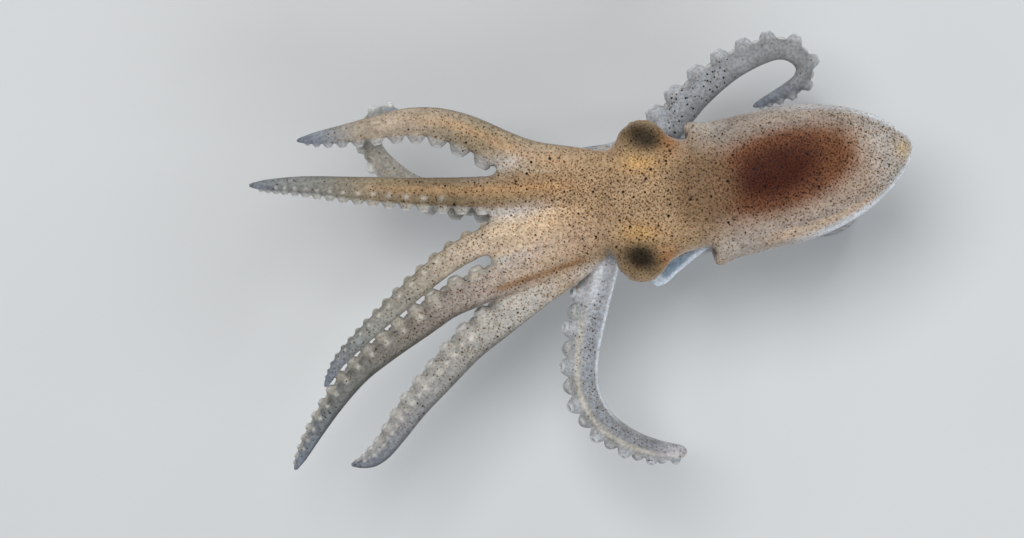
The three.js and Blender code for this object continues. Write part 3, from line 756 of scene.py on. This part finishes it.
# ---------------------------------------------------------------- the skin's paint
class Skin:
    """The skin's ground colour while it is painted, and what the paint goes by at each point: places, and
    how far the point belongs to each part, from 0 to 1."""

    def __init__(self, points, normals):
        facts = arm_facts(points)
        self.points = points
        self.x, self.y, self.z = points.T
        self.mantle_x, self.mantle_y = mantle_place(points)
        self.up = normals[:, 2]
        self.back = rise(self.up, -0.2, 0.45)
        self.which = facts["which"]
        self.share, self.level = facts["share"], facts["level"]
        self.above, self.oral = facts["up"], facts["oral"]
        self.knobs = stalk_nearness(points)
        hanging = self.is_arm(*LOW_ARMS)
        on_low_arm = np.maximum(fall(facts["near"], 1.25, 1.6), self.knobs)
        outside_web = rise(self.share, 0.05, 0.16) * on_low_arm
        self.on_arm = np.clip(fall(self.x, -11.5, -6.5) + hanging * outside_web, 0, 1)
        self.on_mantle = rise(self.mantle_x, -2.4, 2.4) * (1 - self.on_arm)
        self.lowered = np.maximum(fall(self.z, -1.6, -0.6), rise(self.share, 0.2, 0.28))
        self.low_arm = hanging * self.on_arm * self.lowered
        self.tan_arms = self.on_arm * self.is_arm("right_1", "right_2") * self.back
        self.left_4 = self.is_arm("left_4") * self.on_arm * rise(self.above, 0.0, 0.4)
        self.colour = np.tile(tint(164, 140, 111), (len(points), 1))

    def is_arm(self, *names):
        """1 where the nearest arm is one of these."""
        return np.isin(self.which, [NAMES.index(name) for name in names]).astype(float)

    def spot(self, centre, radii, turn=0.0):
        """A soft round spot seen from above, 1 in its middle."""
        c, s = math.cos(math.radians(turn)), math.sin(math.radians(turn))
        x = self.x - centre[0]
        y = self.y - centre[1]
        return np.exp(-(((x * c + y * s) / radii[0]) ** 2) - ((-x * s + y * c) / radii[1]) ** 2)

    def lay(self, rgb, weight):
        """Paints a screen colour over the skin."""
        self.colour = painted(self.colour, tint(*rgb), weight)

    def dim(self, factor, weight):
        """Darkens the skin's own colour."""
        self.colour = painted(self.colour, self.colour * factor, weight)


def paint_arms(skin):
    """Each arm in its own tones."""
    for k, name in enumerate(NAMES):
        mine = skin.on_arm * (skin.which == k)
        if name in LOW_ARMS:
            mine = mine * skin.lowered
        skin.colour = painted(skin.colour, arm_tone(name, skin.share), mine)


def paint_mantle(skin):
    """Pinkish grey sides, painted shade over the right side, the blotch and a clear, bluish white margin that
    is partly a painted rim highlight. Returns the blotch and the margin.
    """
    x, y, mantle = skin.mantle_x, skin.mantle_y, skin.on_mantle
    skin.lay((160, 143, 129), mantle)
    across = np.abs(y) / np.maximum(0.4, mantle_half_width(x))
    skin.lay((158, 148, 140), mantle * rise(across, 0.5, 0.8) * 0.9)
    # Painted shade: the right side, where the light falls strongest, is darkened to even it out.
    skin.dim(0.84, mantle * rise(y, 1.6, 3.4) * 0.8)
    skin.lay((166, 163, 159), mantle * rise(x, 11.5, 13.8) * 0.7)
    skin.lay((190, 168, 124), skin.spot((15.9, 3.1), (0.6, 0.7)) * skin.back * 0.6)
    patch = paint_blotch(skin)

    rim = rise(across, 0.72, 0.8) * fall(across, 0.88, 0.97) * rise(x, 2.0, 5.0)
    rim = rim * (0.25 + 0.75 * fall(y, -1.0, 0.5))
    skin.lay((210, 182, 152), mantle * rim * fall(x, 11.0, 14.5) * 0.45)
    # The margin is partly the mantle's own clear, pale edge and partly a painted rim highlight, laid where
    # the flanks stand edge-on.
    widest = 0.45 + 0.55 * np.maximum(fall(y, -3.0, -0.5), rise(x, 11.0, 14.5))
    margin = mantle * fall(np.abs(skin.up - 0.15), 0.18, 0.5) * rise(x, 4.0, 9.5) * widest
    skin.lay((216, 222, 230), margin * 0.9)
    for corner, radii in (((0.4, 4.8), (1.4, 0.6)), ((2.1, -4.7), (1.6, 0.9))):
        skin.lay((190, 184, 176), skin.spot(corner, radii) * mantle * skin.back * 0.7)
    return patch, margin


def paint_blotch(skin):
    """The dark organs that show through the mantle's back: a blotch that is broad towards the head, cut off
    straight towards the tip and leans to the right side. Returns where it is."""
    lean = 18
    leaf = skin.spot((6.3, 1.3), (6.3, 2.95), lean) * fall(skin.mantle_x, 11.4, 13.2)
    patch = rise(leaf, 0.16, 0.55) * skin.on_mantle * skin.back
    skin.lay((112, 68, 40), patch * 0.9)
    core = rise(skin.spot((6.2, 1.3), (5.2, 2.6), lean), 0.2, 0.95) * patch
    skin.lay((62, 20, 2), core * 0.96)
    skin.lay((112, 74, 46), skin.spot((11.0, 2.5), (1.3, 2.0), lean) * patch * 0.45)
    return patch


def paint_head(skin):
    """Gold inside the eyes, orange brown behind them, and a dark spot over each eye."""
    raised = rise(skin.z, -1.8, -0.8)
    back = skin.back * raised
    lead = rise(skin.spot((0.9, 0.0), (2.5, 3.3), 12), 0.1, 0.75) * back
    skin.lay((116, 92, 68), lead * 0.85)
    for middle, gold, rear, depth in (((-3.6, 3.95), 1.95, 3.6, 0.88), ((-3.7, -5.1), -3.25, -5.25, 0.97)):
        skin.lay((196, 158, 102), skin.spot((-3.9, gold), (1.5, 0.75)) * back * 0.75)
        skin.lay((164, 108, 58), skin.spot((-1.75, rear), (0.9, 1.0)) * back * 0.7)
        halo = rise(skin.spot(middle, (2.3, 1.6), -20), 0.2, 0.8) * rise(skin.up, -0.3, 0.2)
        skin.lay((96, 80, 50), halo * raised * 0.5)
        dark = rise(skin.spot(middle, (1.7, 1.15), -20), 0.2, 0.95) * rise(skin.up, -0.1, 0.35)
        skin.lay((28, 20, 10), dark * raised * depth)


def paint_web(skin):
    """Whitish where the web meets the gaps between the arms, and rosy over the left arms' roots."""
    for middle, radii, turn in (((-14.3, 1.9), (2.3, 0.7), 15), ((-13.3, -1.7), (2.6, 0.55), 10),
                                ((-12.3, -4.9), (3.0, 0.7), 22)):
        skin.lay((194, 188, 184), skin.spot(middle, radii, turn) * skin.back * 0.75)
    skin.lay((178, 152, 128), skin.spot((-9.5, -4.2), (4.0, 1.6), 22) * skin.back * 0.7)


def paint_arm_lengths(skin):
    """A warmer line along the upper right arms, painted shade along the edges of every upper arm, and painted
    shade on the far sides of the second and third left arms."""
    warm = skin.tan_arms * ridge(skin.level, -0.1, 0.35) * fall(skin.share, 0.5, 0.75)
    skin.lay((196, 150, 100), warm * 0.35)
    # Painted shade: the upper arms' edges, where their sides turn down, are darkened.
    edge = skin.on_arm * fall(np.abs(skin.up - 0.15), 0.1, 0.4)
    skin.dim(0.6, edge * (1 - skin.low_arm) * 0.85)
    # Painted shade: the far sides of the second and third left arms are darkened where the light falls off.
    far = skin.is_arm("left_2", "left_3") * skin.on_arm * fall(skin.level, -0.9, -0.45) * skin.back
    skin.dim(0.5, far * rise(skin.share, 0.3, 0.45) * 0.8)


def paint_pale_sides(skin):
    """The underside and the sucker sides, and the clear root of the lowest left arm."""
    skin.lay((182, 180, 178), (1 - skin.back) * 0.8)
    skin.lay((196, 195, 194), skin.on_arm * rise(skin.oral, 0.45, 0.95) * 0.8)
    clear_root = skin.spot((-7.5, -6.05), (1.5, 0.6), 20) * rise(skin.up, -0.5, 0.2)
    skin.lay((192, 186, 182), clear_root * 0.75)


def paint_crease(skin):
    """A brown crease that runs out between the second and third left arms."""
    run = np.clip(-(skin.x + 8.0) / 7.2, 0, 1)
    crease = ridge(skin.y + 5.25 + 2.45 * run, 0.0, 0.3)
    crease = crease * fall(skin.x, -8.4, -7.2) * rise(skin.x, -15.6, -13.8)
    skin.lay((128, 90, 54), crease * skin.back * 0.75)


def paint_funnel(skin):
    """Bluish white, with painted shade along its middle for the bore's shaded inside. Returns where the
    funnel is.
    """
    line = curve_points(FUNNEL["route"], 60)[0]
    distance = np.sqrt(((skin.points[:, None, :] - line[None, ::5, :]) ** 2).sum(2)).min(1)
    funnel = fall(distance, 1.35, 1.9) * fall(skin.z, -2.0, -1.3)
    skin.lay((204, 213, 225), funnel)
    # Painted shade: a darker band along the funnel stands in for the shade inside its bore.
    inner = rise(skin.y - 0.94 * skin.x, -5.3, -4.85) * rise(skin.z, -3.2, -2.7)
    inner = inner * rise(0.69 * skin.x + 0.72 * skin.y, -6.3, -5.8)
    skin.lay((104, 124, 140), funnel * inner * 0.85)
    return funnel


def paint_left_4(skin):
    """On the lowest left arm: a cream line near its sucker side, a painted rim highlight along the other
    edge, a grey line beside that, a clear stripe at the root and a paler end."""
    line = ridge(skin.level, 0.42, 0.2) * rise(skin.share, 0.3, 0.4)
    skin.lay((204, 197, 182), skin.left_4 * line * 0.55)
    # Painted highlight: a bright bluish edge stands in for rim light along the arm's far side.
    bright = fall(skin.level, -0.92, -0.72) * (1 - 0.8 * rise(skin.share, 0.62, 0.8))
    skin.lay((224, 230, 238), skin.left_4 * bright * 0.85)
    skin.lay((140, 146, 156), skin.left_4 * ridge(skin.level, -0.3, 0.26) * 0.6)
    stripe = ridge(skin.level, 0.1, 0.3) * fall(skin.share, 0.2, 0.42)
    skin.lay((210, 215, 222), skin.left_4 * stripe * 0.55)
    skin.lay((190, 186, 188), skin.left_4 * rise(skin.share, 0.86, 0.95) * 0.65)


def paint_suckers(skin):
    """The stalks in the suckers' tones, and on four arms a pale spot beside each sucker of the upper row.
    Returns where the stalks and where the spots are."""
    stalks = skin.on_arm * skin.knobs
    for k, name in enumerate(NAMES):
        tone = sucker_tone(name, skin.share)
        skin.colour = painted(skin.colour, tone, stalks * (skin.which == k) * 0.9)
    pearls = np.zeros(len(skin.points))
    for name in ("left_1", "left_2", "left_3", "right_1"):
        pearls = np.maximum(pearls, pearl_spots(skin.points, name))
    pearls = pearls * rise(skin.share, 0.42, 0.5)
    skin.lay((212, 207, 198), pearls * 0.6)
    return stalks, pearls


def pearl_spots(points, name):
    """Pale spots on an arm's back, one beside each sucker of its upper row."""
    found = np.zeros(len(points))
    near = np.flatnonzero(points[:, 0] < -8)
    for seat in SEATS[name]:
        if seat.radius < 0.2 or seat.outward[2] < -0.75:
            continue
        d2 = ((points[near] - seat.back) ** 2).sum(1)
        found[near] = np.maximum(found[near], np.exp(-d2 / (0.48 * seat.radius) ** 2))
    return found


def fine_cells(skin, patch, margin, funnel, whitish):
    """How many of the fine colour cells are open at each point, from 0 to 1."""
    share, mantle, left_4 = skin.share, skin.on_mantle, skin.left_4
    dense = np.maximum(skin.spot((-2.8, -0.5), (4.6, 4.4)), skin.spot((-8.2, -0.3), (5.2, 3.0)))
    sparse = 0.42 * (1 - 0.75 * rise(share, 0.4, 0.75)) * skin.on_arm + 0.55 * (1 - skin.on_arm)
    fine = skin.back * np.maximum(np.maximum(1.1 * dense, patch), np.maximum(sparse, 0.62 * mantle))
    fine = fine * (1 - 0.7 * skin.low_arm) * (1 - 0.8 * margin) * (1 - funnel) * (1 - 0.7 * whitish)
    sides = mantle * (1 - patch) * rise(np.abs(skin.mantle_y - 0.2), 1.8, 3.6)
    sides = sides * fall(skin.mantle_x, 9.0, 12.0)
    fine = np.clip(fine * (1 - 0.45 * sides) + 0.15 * (1 - skin.back) * (1 - funnel), 0, 1)
    band = ridge(skin.level, -0.3, 0.3) * rise(share, 0.2, 0.35)
    return np.maximum(fine * (1 - 0.8 * left_4 * fall(share, 0.22, 0.35)), 0.45 * left_4 * band)


def founder_cells(skin, patch, funnel):
    """How many of the large dark founder cells are open at each point, from 0 to 1."""
    nape = skin.spot((-3.2, -0.7), (5.0, 3.6)) * skin.back
    on_roots = skin.back * skin.tan_arms * (skin.share < 0.5)
    founders = np.clip(0.5 * nape + 0.1 * patch + 0.1 * on_roots, 0, 1)
    return founders * (1 - funnel) * (1 - skin.left_4)


def dark_specks(skin):
    """How many dark specks show along the middle of the third right arm, from 0 to 1."""
    share = skin.share
    speckled = skin.is_arm("right_3") * rise(share, 0.3, 0.36) * fall(share, 0.52, 0.6)
    return 0.5 * speckled * rise(skin.above, 0.1, 0.5) * (1 - skin.knobs)


def skin_paint(points, normals):
    """The skin's ground colour and the amounts of each kind of marking, at each point."""
    skin = Skin(points, normals)
    paint_arms(skin)
    patch, margin = paint_mantle(skin)
    paint_head(skin)
    paint_web(skin)
    paint_arm_lengths(skin)
    paint_pale_sides(skin)
    paint_crease(skin)
    funnel = paint_funnel(skin)
    paint_left_4(skin)
    stalks, pearls = paint_suckers(skin)
    fine = fine_cells(skin, patch, margin, funnel, np.maximum(pearls, stalks))
    founders = founder_cells(skin, patch, funnel)
    return skin.colour, dict(fine=fine, founders=founders, specks=dark_specks(skin), upward=skin.up)


# ---------------------------------------------------------------- node helpers
class Nodes:
    """Short ways to add and link shader nodes."""

    def __init__(self, name):
        self.material = bpy.data.materials.new(name)
        self.material.use_nodes = True
        self.tree = self.material.node_tree
        self.tree.nodes.clear()
        self.shader = self.add("ShaderNodeBsdfPrincipled")
        output = self.add("ShaderNodeOutputMaterial")
        self.link(self.shader.outputs["BSDF"], output.inputs["Surface"])
        self.where = self.add("ShaderNodeTexCoord").outputs["Object"]

    def add(self, kind, **settings):
        node = self.tree.nodes.new(kind)
        for key, value in settings.items():
            setattr(node, key, value)
        return node

    def link(self, source, target):
        self.tree.links.new(source, target)

    def put(self, socket, value):
        if isinstance(value, bpy.types.NodeSocket):
            self.link(value, socket)
        else:
            socket.default_value = value

    def attribute(self, name, output="Fac"):
        return self.add("ShaderNodeAttribute", attribute_name=name).outputs[output]

    def math(self, operation, a, b=0.0):
        node = self.add("ShaderNodeMath", operation=operation)
        self.put(node.inputs[0], a)
        self.put(node.inputs[1], b)
        return node.outputs[0]

    def spread(self, value, low, high, to_low=0.0, to_high=1.0):
        node = self.add("ShaderNodeMapRange", interpolation_type="SMOOTHSTEP")
        for socket, setting in zip(node.inputs[:5], (value, low, high, to_low, to_high)):
            self.put(socket, setting)
        return node.outputs[0]

    def noise(self, size_mm, detail=3.0, roughness=0.5):
        node = self.add("ShaderNodeTexNoise")
        self.link(self.where, node.inputs["Vector"])
        node.inputs["Scale"].default_value = 1 / (size_mm * MM)
        node.inputs["Detail"].default_value = detail
        node.inputs["Roughness"].default_value = roughness
        return node.outputs["Fac"]

    def cells(self, size_mm, shift=0.0, flat=False):
        moved = self.add("ShaderNodeMapping")
        self.link(self.where, moved.inputs["Vector"])
        moved.inputs["Location"].default_value = (shift * MM, -0.7 * shift * MM, 0.4 * shift * MM)
        moved.inputs["Rotation"].default_value = (0.0, 0.0, math.radians(CELL_TURN))
        node = self.add("ShaderNodeTexVoronoi", voronoi_dimensions="2D" if flat else "3D")
        self.link(moved.outputs[0], node.inputs["Vector"])
        node.inputs["Scale"].default_value = 1 / (size_mm * MM)
        node.inputs["Randomness"].default_value = 0.95
        return node

    def mix(self, factor, a, b, blend="MIX"):
        node = self.add("ShaderNodeMix", data_type="RGBA", blend_type=blend)
        self.put(node.inputs[0], factor)
        self.put(node.inputs[6], a)
        self.put(node.inputs[7], b)
        return node.outputs[2]

    def shade(self, colour, factor):
        node = self.add("ShaderNodeVectorMath", operation="SCALE")
        self.link(colour, node.inputs[0])
        self.put(node.inputs["Scale"], factor)
        return node.outputs[0]

    def bump(self, height, strength, distance_mm):
        node = self.add("ShaderNodeBump")
        node.inputs["Strength"].default_value = strength
        node.inputs["Distance"].default_value = distance_mm * MM
        self.link(height, node.inputs["Height"])
        self.link(node.outputs[0], self.shader.inputs["Normal"])

    def set(self, **values):
        for key, value in values.items():
            self.put(self.shader.inputs[key.replace("_", " ")], value)


def linear(r, g, b):
    """A screen colour as a socket takes it."""
    return tuple(float(v) for v in tint(r, g, b)) + (1.0,)


def dots(nodes, amount, size_mm, low, high, shift):
    """Round colour cells: amount sets how many of them are open, low and high their radii in cell widths.
    On the back they lie side by side in one layer, and on the sides they are cut from cells in depth."""
    discs = []
    for flat, widened in ((False, 1.3), (True, 1.0)):
        cells = nodes.cells(size_mm, shift, flat)
        random = nodes.add("ShaderNodeSeparateColor")
        nodes.link(cells.outputs["Color"], random.inputs[0])
        radius = nodes.spread(random.outputs[0], 0.0, 1.0, widened * low, widened * high)
        inner = nodes.math("MULTIPLY", radius, 0.55)
        disc = nodes.math("SUBTRACT", 1.0, nodes.spread(cells.outputs["Distance"], inner, radius))
        opened = nodes.math("GREATER_THAN", amount, random.outputs[1])
        discs.append(nodes.math("MULTIPLY", disc, opened))
    return nodes.spread(nodes.attribute("upward"), 0.35, 0.6, *discs)


# ---------------------------------------------------------------- materials
def skin_material():
    """Moist, slightly clear flesh under layers of colour cells, from fine ones to large dark founders."""
    nodes = Nodes("octopus_skin")
    ground = nodes.attribute("ground", "Color")
    ground = nodes.shade(ground, nodes.spread(nodes.noise(1.1, 4.0, 0.6), 0.3, 0.7, 0.88, 1.12))
    ground = nodes.shade(ground, nodes.spread(nodes.noise(0.22, 2.0), 0.3, 0.7, 0.8, 1.2))

    fine = nodes.attribute("fine")
    some = nodes.math("MULTIPLY", fine, 0.4)
    # Each layer: how many of its cells are open, their size, least and greatest radius and shift, and how
    # much red, green and blue a cell lets through.
    layers = (
        (fine, 0.2, 0.36, 0.46, 3.1, (0.7, 0.58, 0.46)),
        (fine, 0.25, 0.24, 0.34, 11.7, (0.38, 0.28, 0.2)),
        (some, 0.45, 0.16, 0.24, 17.3, (0.2, 0.15, 0.12)),
        (nodes.attribute("founders"), 0.9, 0.12, 0.17, 23.9, (0.05, 0.04, 0.04)),
        (nodes.attribute("specks"), 0.45, 0.17, 0.24, 31.3, (0.05, 0.05, 0.07)),
    )
    colour = ground
    for amount, size_mm, low, high, shift, passed in layers:
        dot = dots(nodes, amount, size_mm, low, high, shift)
        colour = nodes.mix(dot, colour, passed + (1.0,), "MULTIPLY")
    nodes.set(
        Base_Color=colour, Roughness=nodes.spread(nodes.noise(0.5, 3.0), 0.3, 0.7, 0.5, 0.66), IOR=1.38,
        Specular_IOR_Level=0.2, Subsurface_Weight=0.3, Subsurface_Scale=0.0003,
        Subsurface_Radius=(1.0, 0.66, 0.48),
    )
    pebble = nodes.math("MULTIPLY", nodes.cells(0.16, 5.0).outputs["Distance"], -0.35)
    nodes.bump(nodes.math("ADD", nodes.noise(0.35, 4.0, 0.6), pebble), 0.3, 0.05)
    return nodes.material


def sucker_material():
    """Clear whitish sucker flesh, in the tones that each sucker's points carry."""
    nodes = Nodes("octopus_suckers")
    ground = nodes.attribute("ground", "Color")
    nodes.set(
        Base_Color=nodes.shade(ground, nodes.spread(nodes.noise(0.3, 3.0), 0.3, 0.7, 0.88, 1.12)),
        Roughness=nodes.spread(nodes.noise(0.4, 3.0), 0.3, 0.7, 0.34, 0.5), Specular_IOR_Level=0.35,
        Subsurface_Weight=0.5, Subsurface_Scale=0.0005, Subsurface_Radius=(1.0, 0.85, 0.75),
    )
    nodes.bump(nodes.noise(0.12, 3.0), 0.25, 0.03)
    return nodes.material


def eye_material():
    """A silver and bronze iris round a level slit pupil, under a wet gloss."""
    nodes = Nodes("octopus_eye")
    fleck = nodes.spread(nodes.noise(0.12, 4.0, 0.7), 0.35, 0.7)
    metal = nodes.mix(fleck, linear(150, 126, 74), linear(206, 196, 160))
    colour = nodes.mix(nodes.attribute("iris"), linear(46, 36, 24), metal)
    colour = nodes.mix(nodes.attribute("pupil"), colour, linear(6, 5, 5))
    nodes.set(Base_Color=colour, Roughness=nodes.spread(fleck, 0.0, 1.0, 0.12, 0.22), Coat_Weight=1.0,
              Coat_Roughness=0.03)
    return nodes.material


def beak_material():
    """Dark brown horn."""
    nodes = Nodes("octopus_beak")
    shade = nodes.spread(nodes.noise(0.25, 3.0), 0.3, 0.7)
    nodes.set(Base_Color=nodes.mix(shade, linear(48, 26, 14), linear(98, 58, 28)),
              Roughness=nodes.spread(shade, 0.0, 1.0, 0.22, 0.38))
    return nodes.material


def stand_material():
    """Satin steel with a fine lengthways grain."""
    nodes = Nodes("satin_steel")
    stretch = nodes.add("ShaderNodeMapping")
    nodes.link(nodes.where, stretch.inputs["Vector"])
    stretch.inputs["Scale"].default_value = (300, 6000, 6000)
    grain = nodes.add("ShaderNodeTexNoise")
    nodes.link(stretch.outputs[0], grain.inputs["Vector"])
    grain.inputs["Scale"].default_value = 1.0
    grain.inputs["Detail"].default_value = 3.0
    shade = nodes.spread(grain.outputs["Fac"], 0.3, 0.7)
    nodes.set(Base_Color=nodes.mix(shade, linear(150, 152, 155), linear(186, 188, 190)), Metallic=1.0,
              Roughness=nodes.spread(shade, 0.0, 1.0, 0.3, 0.42))
    nodes.bump(grain.outputs["Fac"], 0.15, 0.02)
    return nodes.material


# ---------------------------------------------------------------- pieces
def finish_piece(obj, material, slot, *nodes):
    """Gives a piece its material and smooth faces, hangs it on the frame's root and hides the parts that it
    replaces; slot is not used.
    """
    obj.data.materials.clear()
    obj.data.materials.append(material)
    obj.data.polygons.foreach_set("use_smooth", np.ones(len(obj.data.polygons), bool))
    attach(obj, "root")
    if nodes:
        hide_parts(*nodes)


def store(mesh, name, values):
    """Keeps one number or one colour at each point of a mesh, for its material to read."""
    kind = "FLOAT" if np.ndim(values) == 1 else "FLOAT_COLOR"
    layer = mesh.attributes.new(name, kind, "POINT")
    if kind == "FLOAT":
        layer.data.foreach_set("value", np.asarray(values, np.float32))
    else:
        rgba = np.ones((len(values), 4), np.float32)
        rgba[:, :3] = values
        layer.data.foreach_set("color", rgba.ravel())


def make_skin():
    """The one skin over all flesh, with its ground colour and the amounts of its markings."""
    obj = skin_object()
    points = points_of(obj.data)
    colour, amounts = skin_paint(points, normals_of(obj.data))
    store(obj.data, "ground", colour)
    for name, values in amounts.items():
        store(obj.data, name, values)
    set_points(obj.data, place(points))
    flesh = [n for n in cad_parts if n.startswith("arm_") or n in ("mantle", "head", "crown", "funnel")]
    finish_piece(obj, skin_material(), "skin_back", *flesh)


# The outline of half a sucker, from inside its stalk over the rim to the cup's floor: (radius, height),
# in rim radii, and how pale each point is.
SUCKER_OUTLINE = [
    (0.0, -0.2, 0), (0.8, -0.2, 0), (0.94, 0.1, 0), (0.97, 0.3, 0), (0.96, 0.48, 0.1), (0.92, 0.64, 0.2),
    (0.85, 0.79, 0.4), (0.76, 0.91, 0.6), (0.66, 0.98, 0.9), (0.57, 0.98, 1), (0.49, 0.92, 0.8),
    (0.43, 0.84, 0.5), (0.36, 0.78, 0.4), (0.3, 0.68, 0.1), (0.31, 0.55, 0), (0.22, 0.46, 0), (0.0, 0.44, 0),
]


def make_suckers(name, material):
    """All the suckers of one arm as one mesh, in the arm's own tone with whiter rims."""
    around = 22
    line = LINES[name]
    pale = np.append(np.repeat([white for r, h, white in SUCKER_OUTLINE], around), [0.0, 0.0])
    forms, grounds = [], []
    for seat in SEATS[name]:
        side = unit(np.cross(seat.outward, seat.along))
        round_it = circle(around, np.cross(side, seat.outward), side)
        rings = [
            seat.point + seat.radius * (seat.outward * h + round_it * max(r, 1e-3))
            for r, h, white in SUCKER_OUTLINE
        ]
        forms.append(loft(rings))
        share = line.u[((line.points - seat.point) ** 2).sum(1).argmin()]
        tones = np.tile(sucker_tone(name, share), (len(pale), 1))
        grounds.append(painted(tones, tint(212, 213, 216), pale * 0.7))
    obj = mesh_from("suckers_" + name, forms)
    store(obj.data, "ground", np.vstack(grounds))
    set_points(obj.data, place(points_of(obj.data)))
    finish_piece(obj, material, "skin_pale" if name in LOW_ARMS else "skin_back")


def make_eye(side, material):
    """An eyeball facing sideways: a cornea that stands a little proud, an iris and a level pupil."""
    outward, upward = eye_axes(side)
    centre = np.array([EYE["x"], EYE["y"] + side * EYE["ball_out"], EYE["ball_up"]])
    points, faces = ellipsoid((0, 0, 0), (1, 1, 1), 96, 64)
    out, ahead, up = points.T
    off_axis = np.sqrt(ahead ** 2 + up ** 2)
    facing = out > 0
    dome = np.where(facing, 0.06 * np.clip(1 - (off_axis / 0.6) ** 2, 0, 1), 0)
    slit = (ahead / 0.42) ** 2 + (np.abs(up) / 0.13) ** 1.6
    turned = np.outer(out, outward) + np.outer(ahead, (1, 0, 0)) + np.outer(up, upward)
    obj = mesh_from("eye_ball_" + ("right" if side > 0 else "left"), [(turned, faces)])
    store(obj.data, "iris", np.where(facing, fall(off_axis, 0.6, 0.66), 0))
    store(obj.data, "pupil", np.where(facing, fall(slit, 0.85, 1.15), 0))
    set_points(obj.data, place(turned * (EYE["ball"] * (1 + dome))[:, None] + centre))
    finish_piece(obj, material, "eye", "eye_right" if side > 0 else "eye_left")


def make_beak(material):
    """Two horny jaws, the lower one over the upper, between the round lips."""
    around = 20
    turn = turns(around)
    forms = []
    for flip, reach in ((1, 0.42), (-1, 0.52)):
        rings = []
        for t in np.linspace(0, 1, 14):
            width = MOUTH["beak"] * (1 - t) ** 0.6 + 0.01
            x = 0.35 - t * reach * 1.9
            z = flip * (0.18 - 0.3 * t * t) + np.sin(turn) * width * 0.42
            rings.append(np.stack([np.full(around, x), np.cos(turn) * width, z], axis=1))
        forms.append(loft(rings))
    obj = mesh_from("beak_jaws", [(p + np.array(MOUTH["centre"]), f) for p, f in forms])
    set_points(obj.data, place(points_of(obj.data)))
    finish_piece(obj, material, "beak", "beak")


def dress_stand(material):
    """The stand shows its own solids, in the steel."""
    for name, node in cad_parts.items():
        if name.startswith("stand_"):
            node.data.materials.clear()
            node.data.materials.append(material)


# ---------------------------------------------------------------- floor, lights, camera
def make_floor():
    """A wide pale floor under the stand."""
    mesh = bpy.data.meshes.new("floor")
    r = 2.0
    mesh.from_pydata([(-r, -r, 0), (r, -r, 0), (r, r, 0), (-r, r, 0)], [], [(0, 1, 2, 3)])
    floor = bpy.data.objects.new("floor", mesh)
    bpy.context.scene.collection.objects.link(floor)
    nodes = Nodes("pale_floor")
    shade = nodes.spread(nodes.noise(40.0, 2.0), 0.3, 0.7)
    nodes.set(Base_Color=nodes.mix(shade, linear(196, 198, 200), linear(200, 202, 204)), Roughness=0.7)
    mesh.materials.append(nodes.material)


def make_light(name, position, size, power, colour):
    """A round area light, in metres from the animal's middle, turned towards it."""
    data = bpy.data.lights.new(name, "AREA")
    data.shape = "DISK"
    data.size = size
    data.energy = power
    data.color = colour
    light = bpy.data.objects.new(name, data)
    middle = Vector(place((-8, -4, 0)))
    light.location = middle + Vector(position)
    light.rotation_euler = (-Vector(position)).to_track_quat("-Z", "Y").to_euler()
    bpy.context.scene.collection.objects.link(light)


def make_lights():
    make_light("key", (-0.1, 0.13, 0.46), 0.28, 1.5, (1.0, 0.99, 0.96))
    make_light("fill", (0.3, -0.26, 0.34), 0.34, 1.15, (0.95, 0.98, 1.0))
    make_light("back", (0.14, 0.42, 0.14), 0.2, 0.5, (0.95, 0.98, 1.0))
    world = bpy.data.worlds.new("studio")
    world.use_nodes = True
    world.node_tree.nodes["Background"].inputs[0].default_value = (0.95, 0.97, 1.0, 1)
    world.node_tree.nodes["Background"].inputs[1].default_value = 0.32
    bpy.context.scene.world = world


def make_camera():
    """Straight down on the back, with the animal placed in the frame as it swam."""
    width = 76.8  # of the view at the body's height
    above = 420.0
    data = bpy.data.cameras.new("camera")
    data.sensor_width = 36.0
    data.lens = data.sensor_width * above / width
    data.clip_start = 0.005
    data.clip_end = 20.0
    camera = bpy.data.objects.new("camera", data)
    camera.location = place((-13.35, -5.93, above))
    bpy.context.scene.collection.objects.link(camera)
    bpy.context.scene.camera = camera


make_camera()
make_skin()
pale = sucker_material()
for arm_name in ARMS:
    make_suckers(arm_name, pale)
eye_look = eye_material()
for eye_side in (1, -1):
    make_eye(eye_side, eye_look)
make_beak(beak_material())
dress_stand(stand_material())
make_floor()
make_lights()
bpy.context.scene.view_settings.view_transform = "Standard"
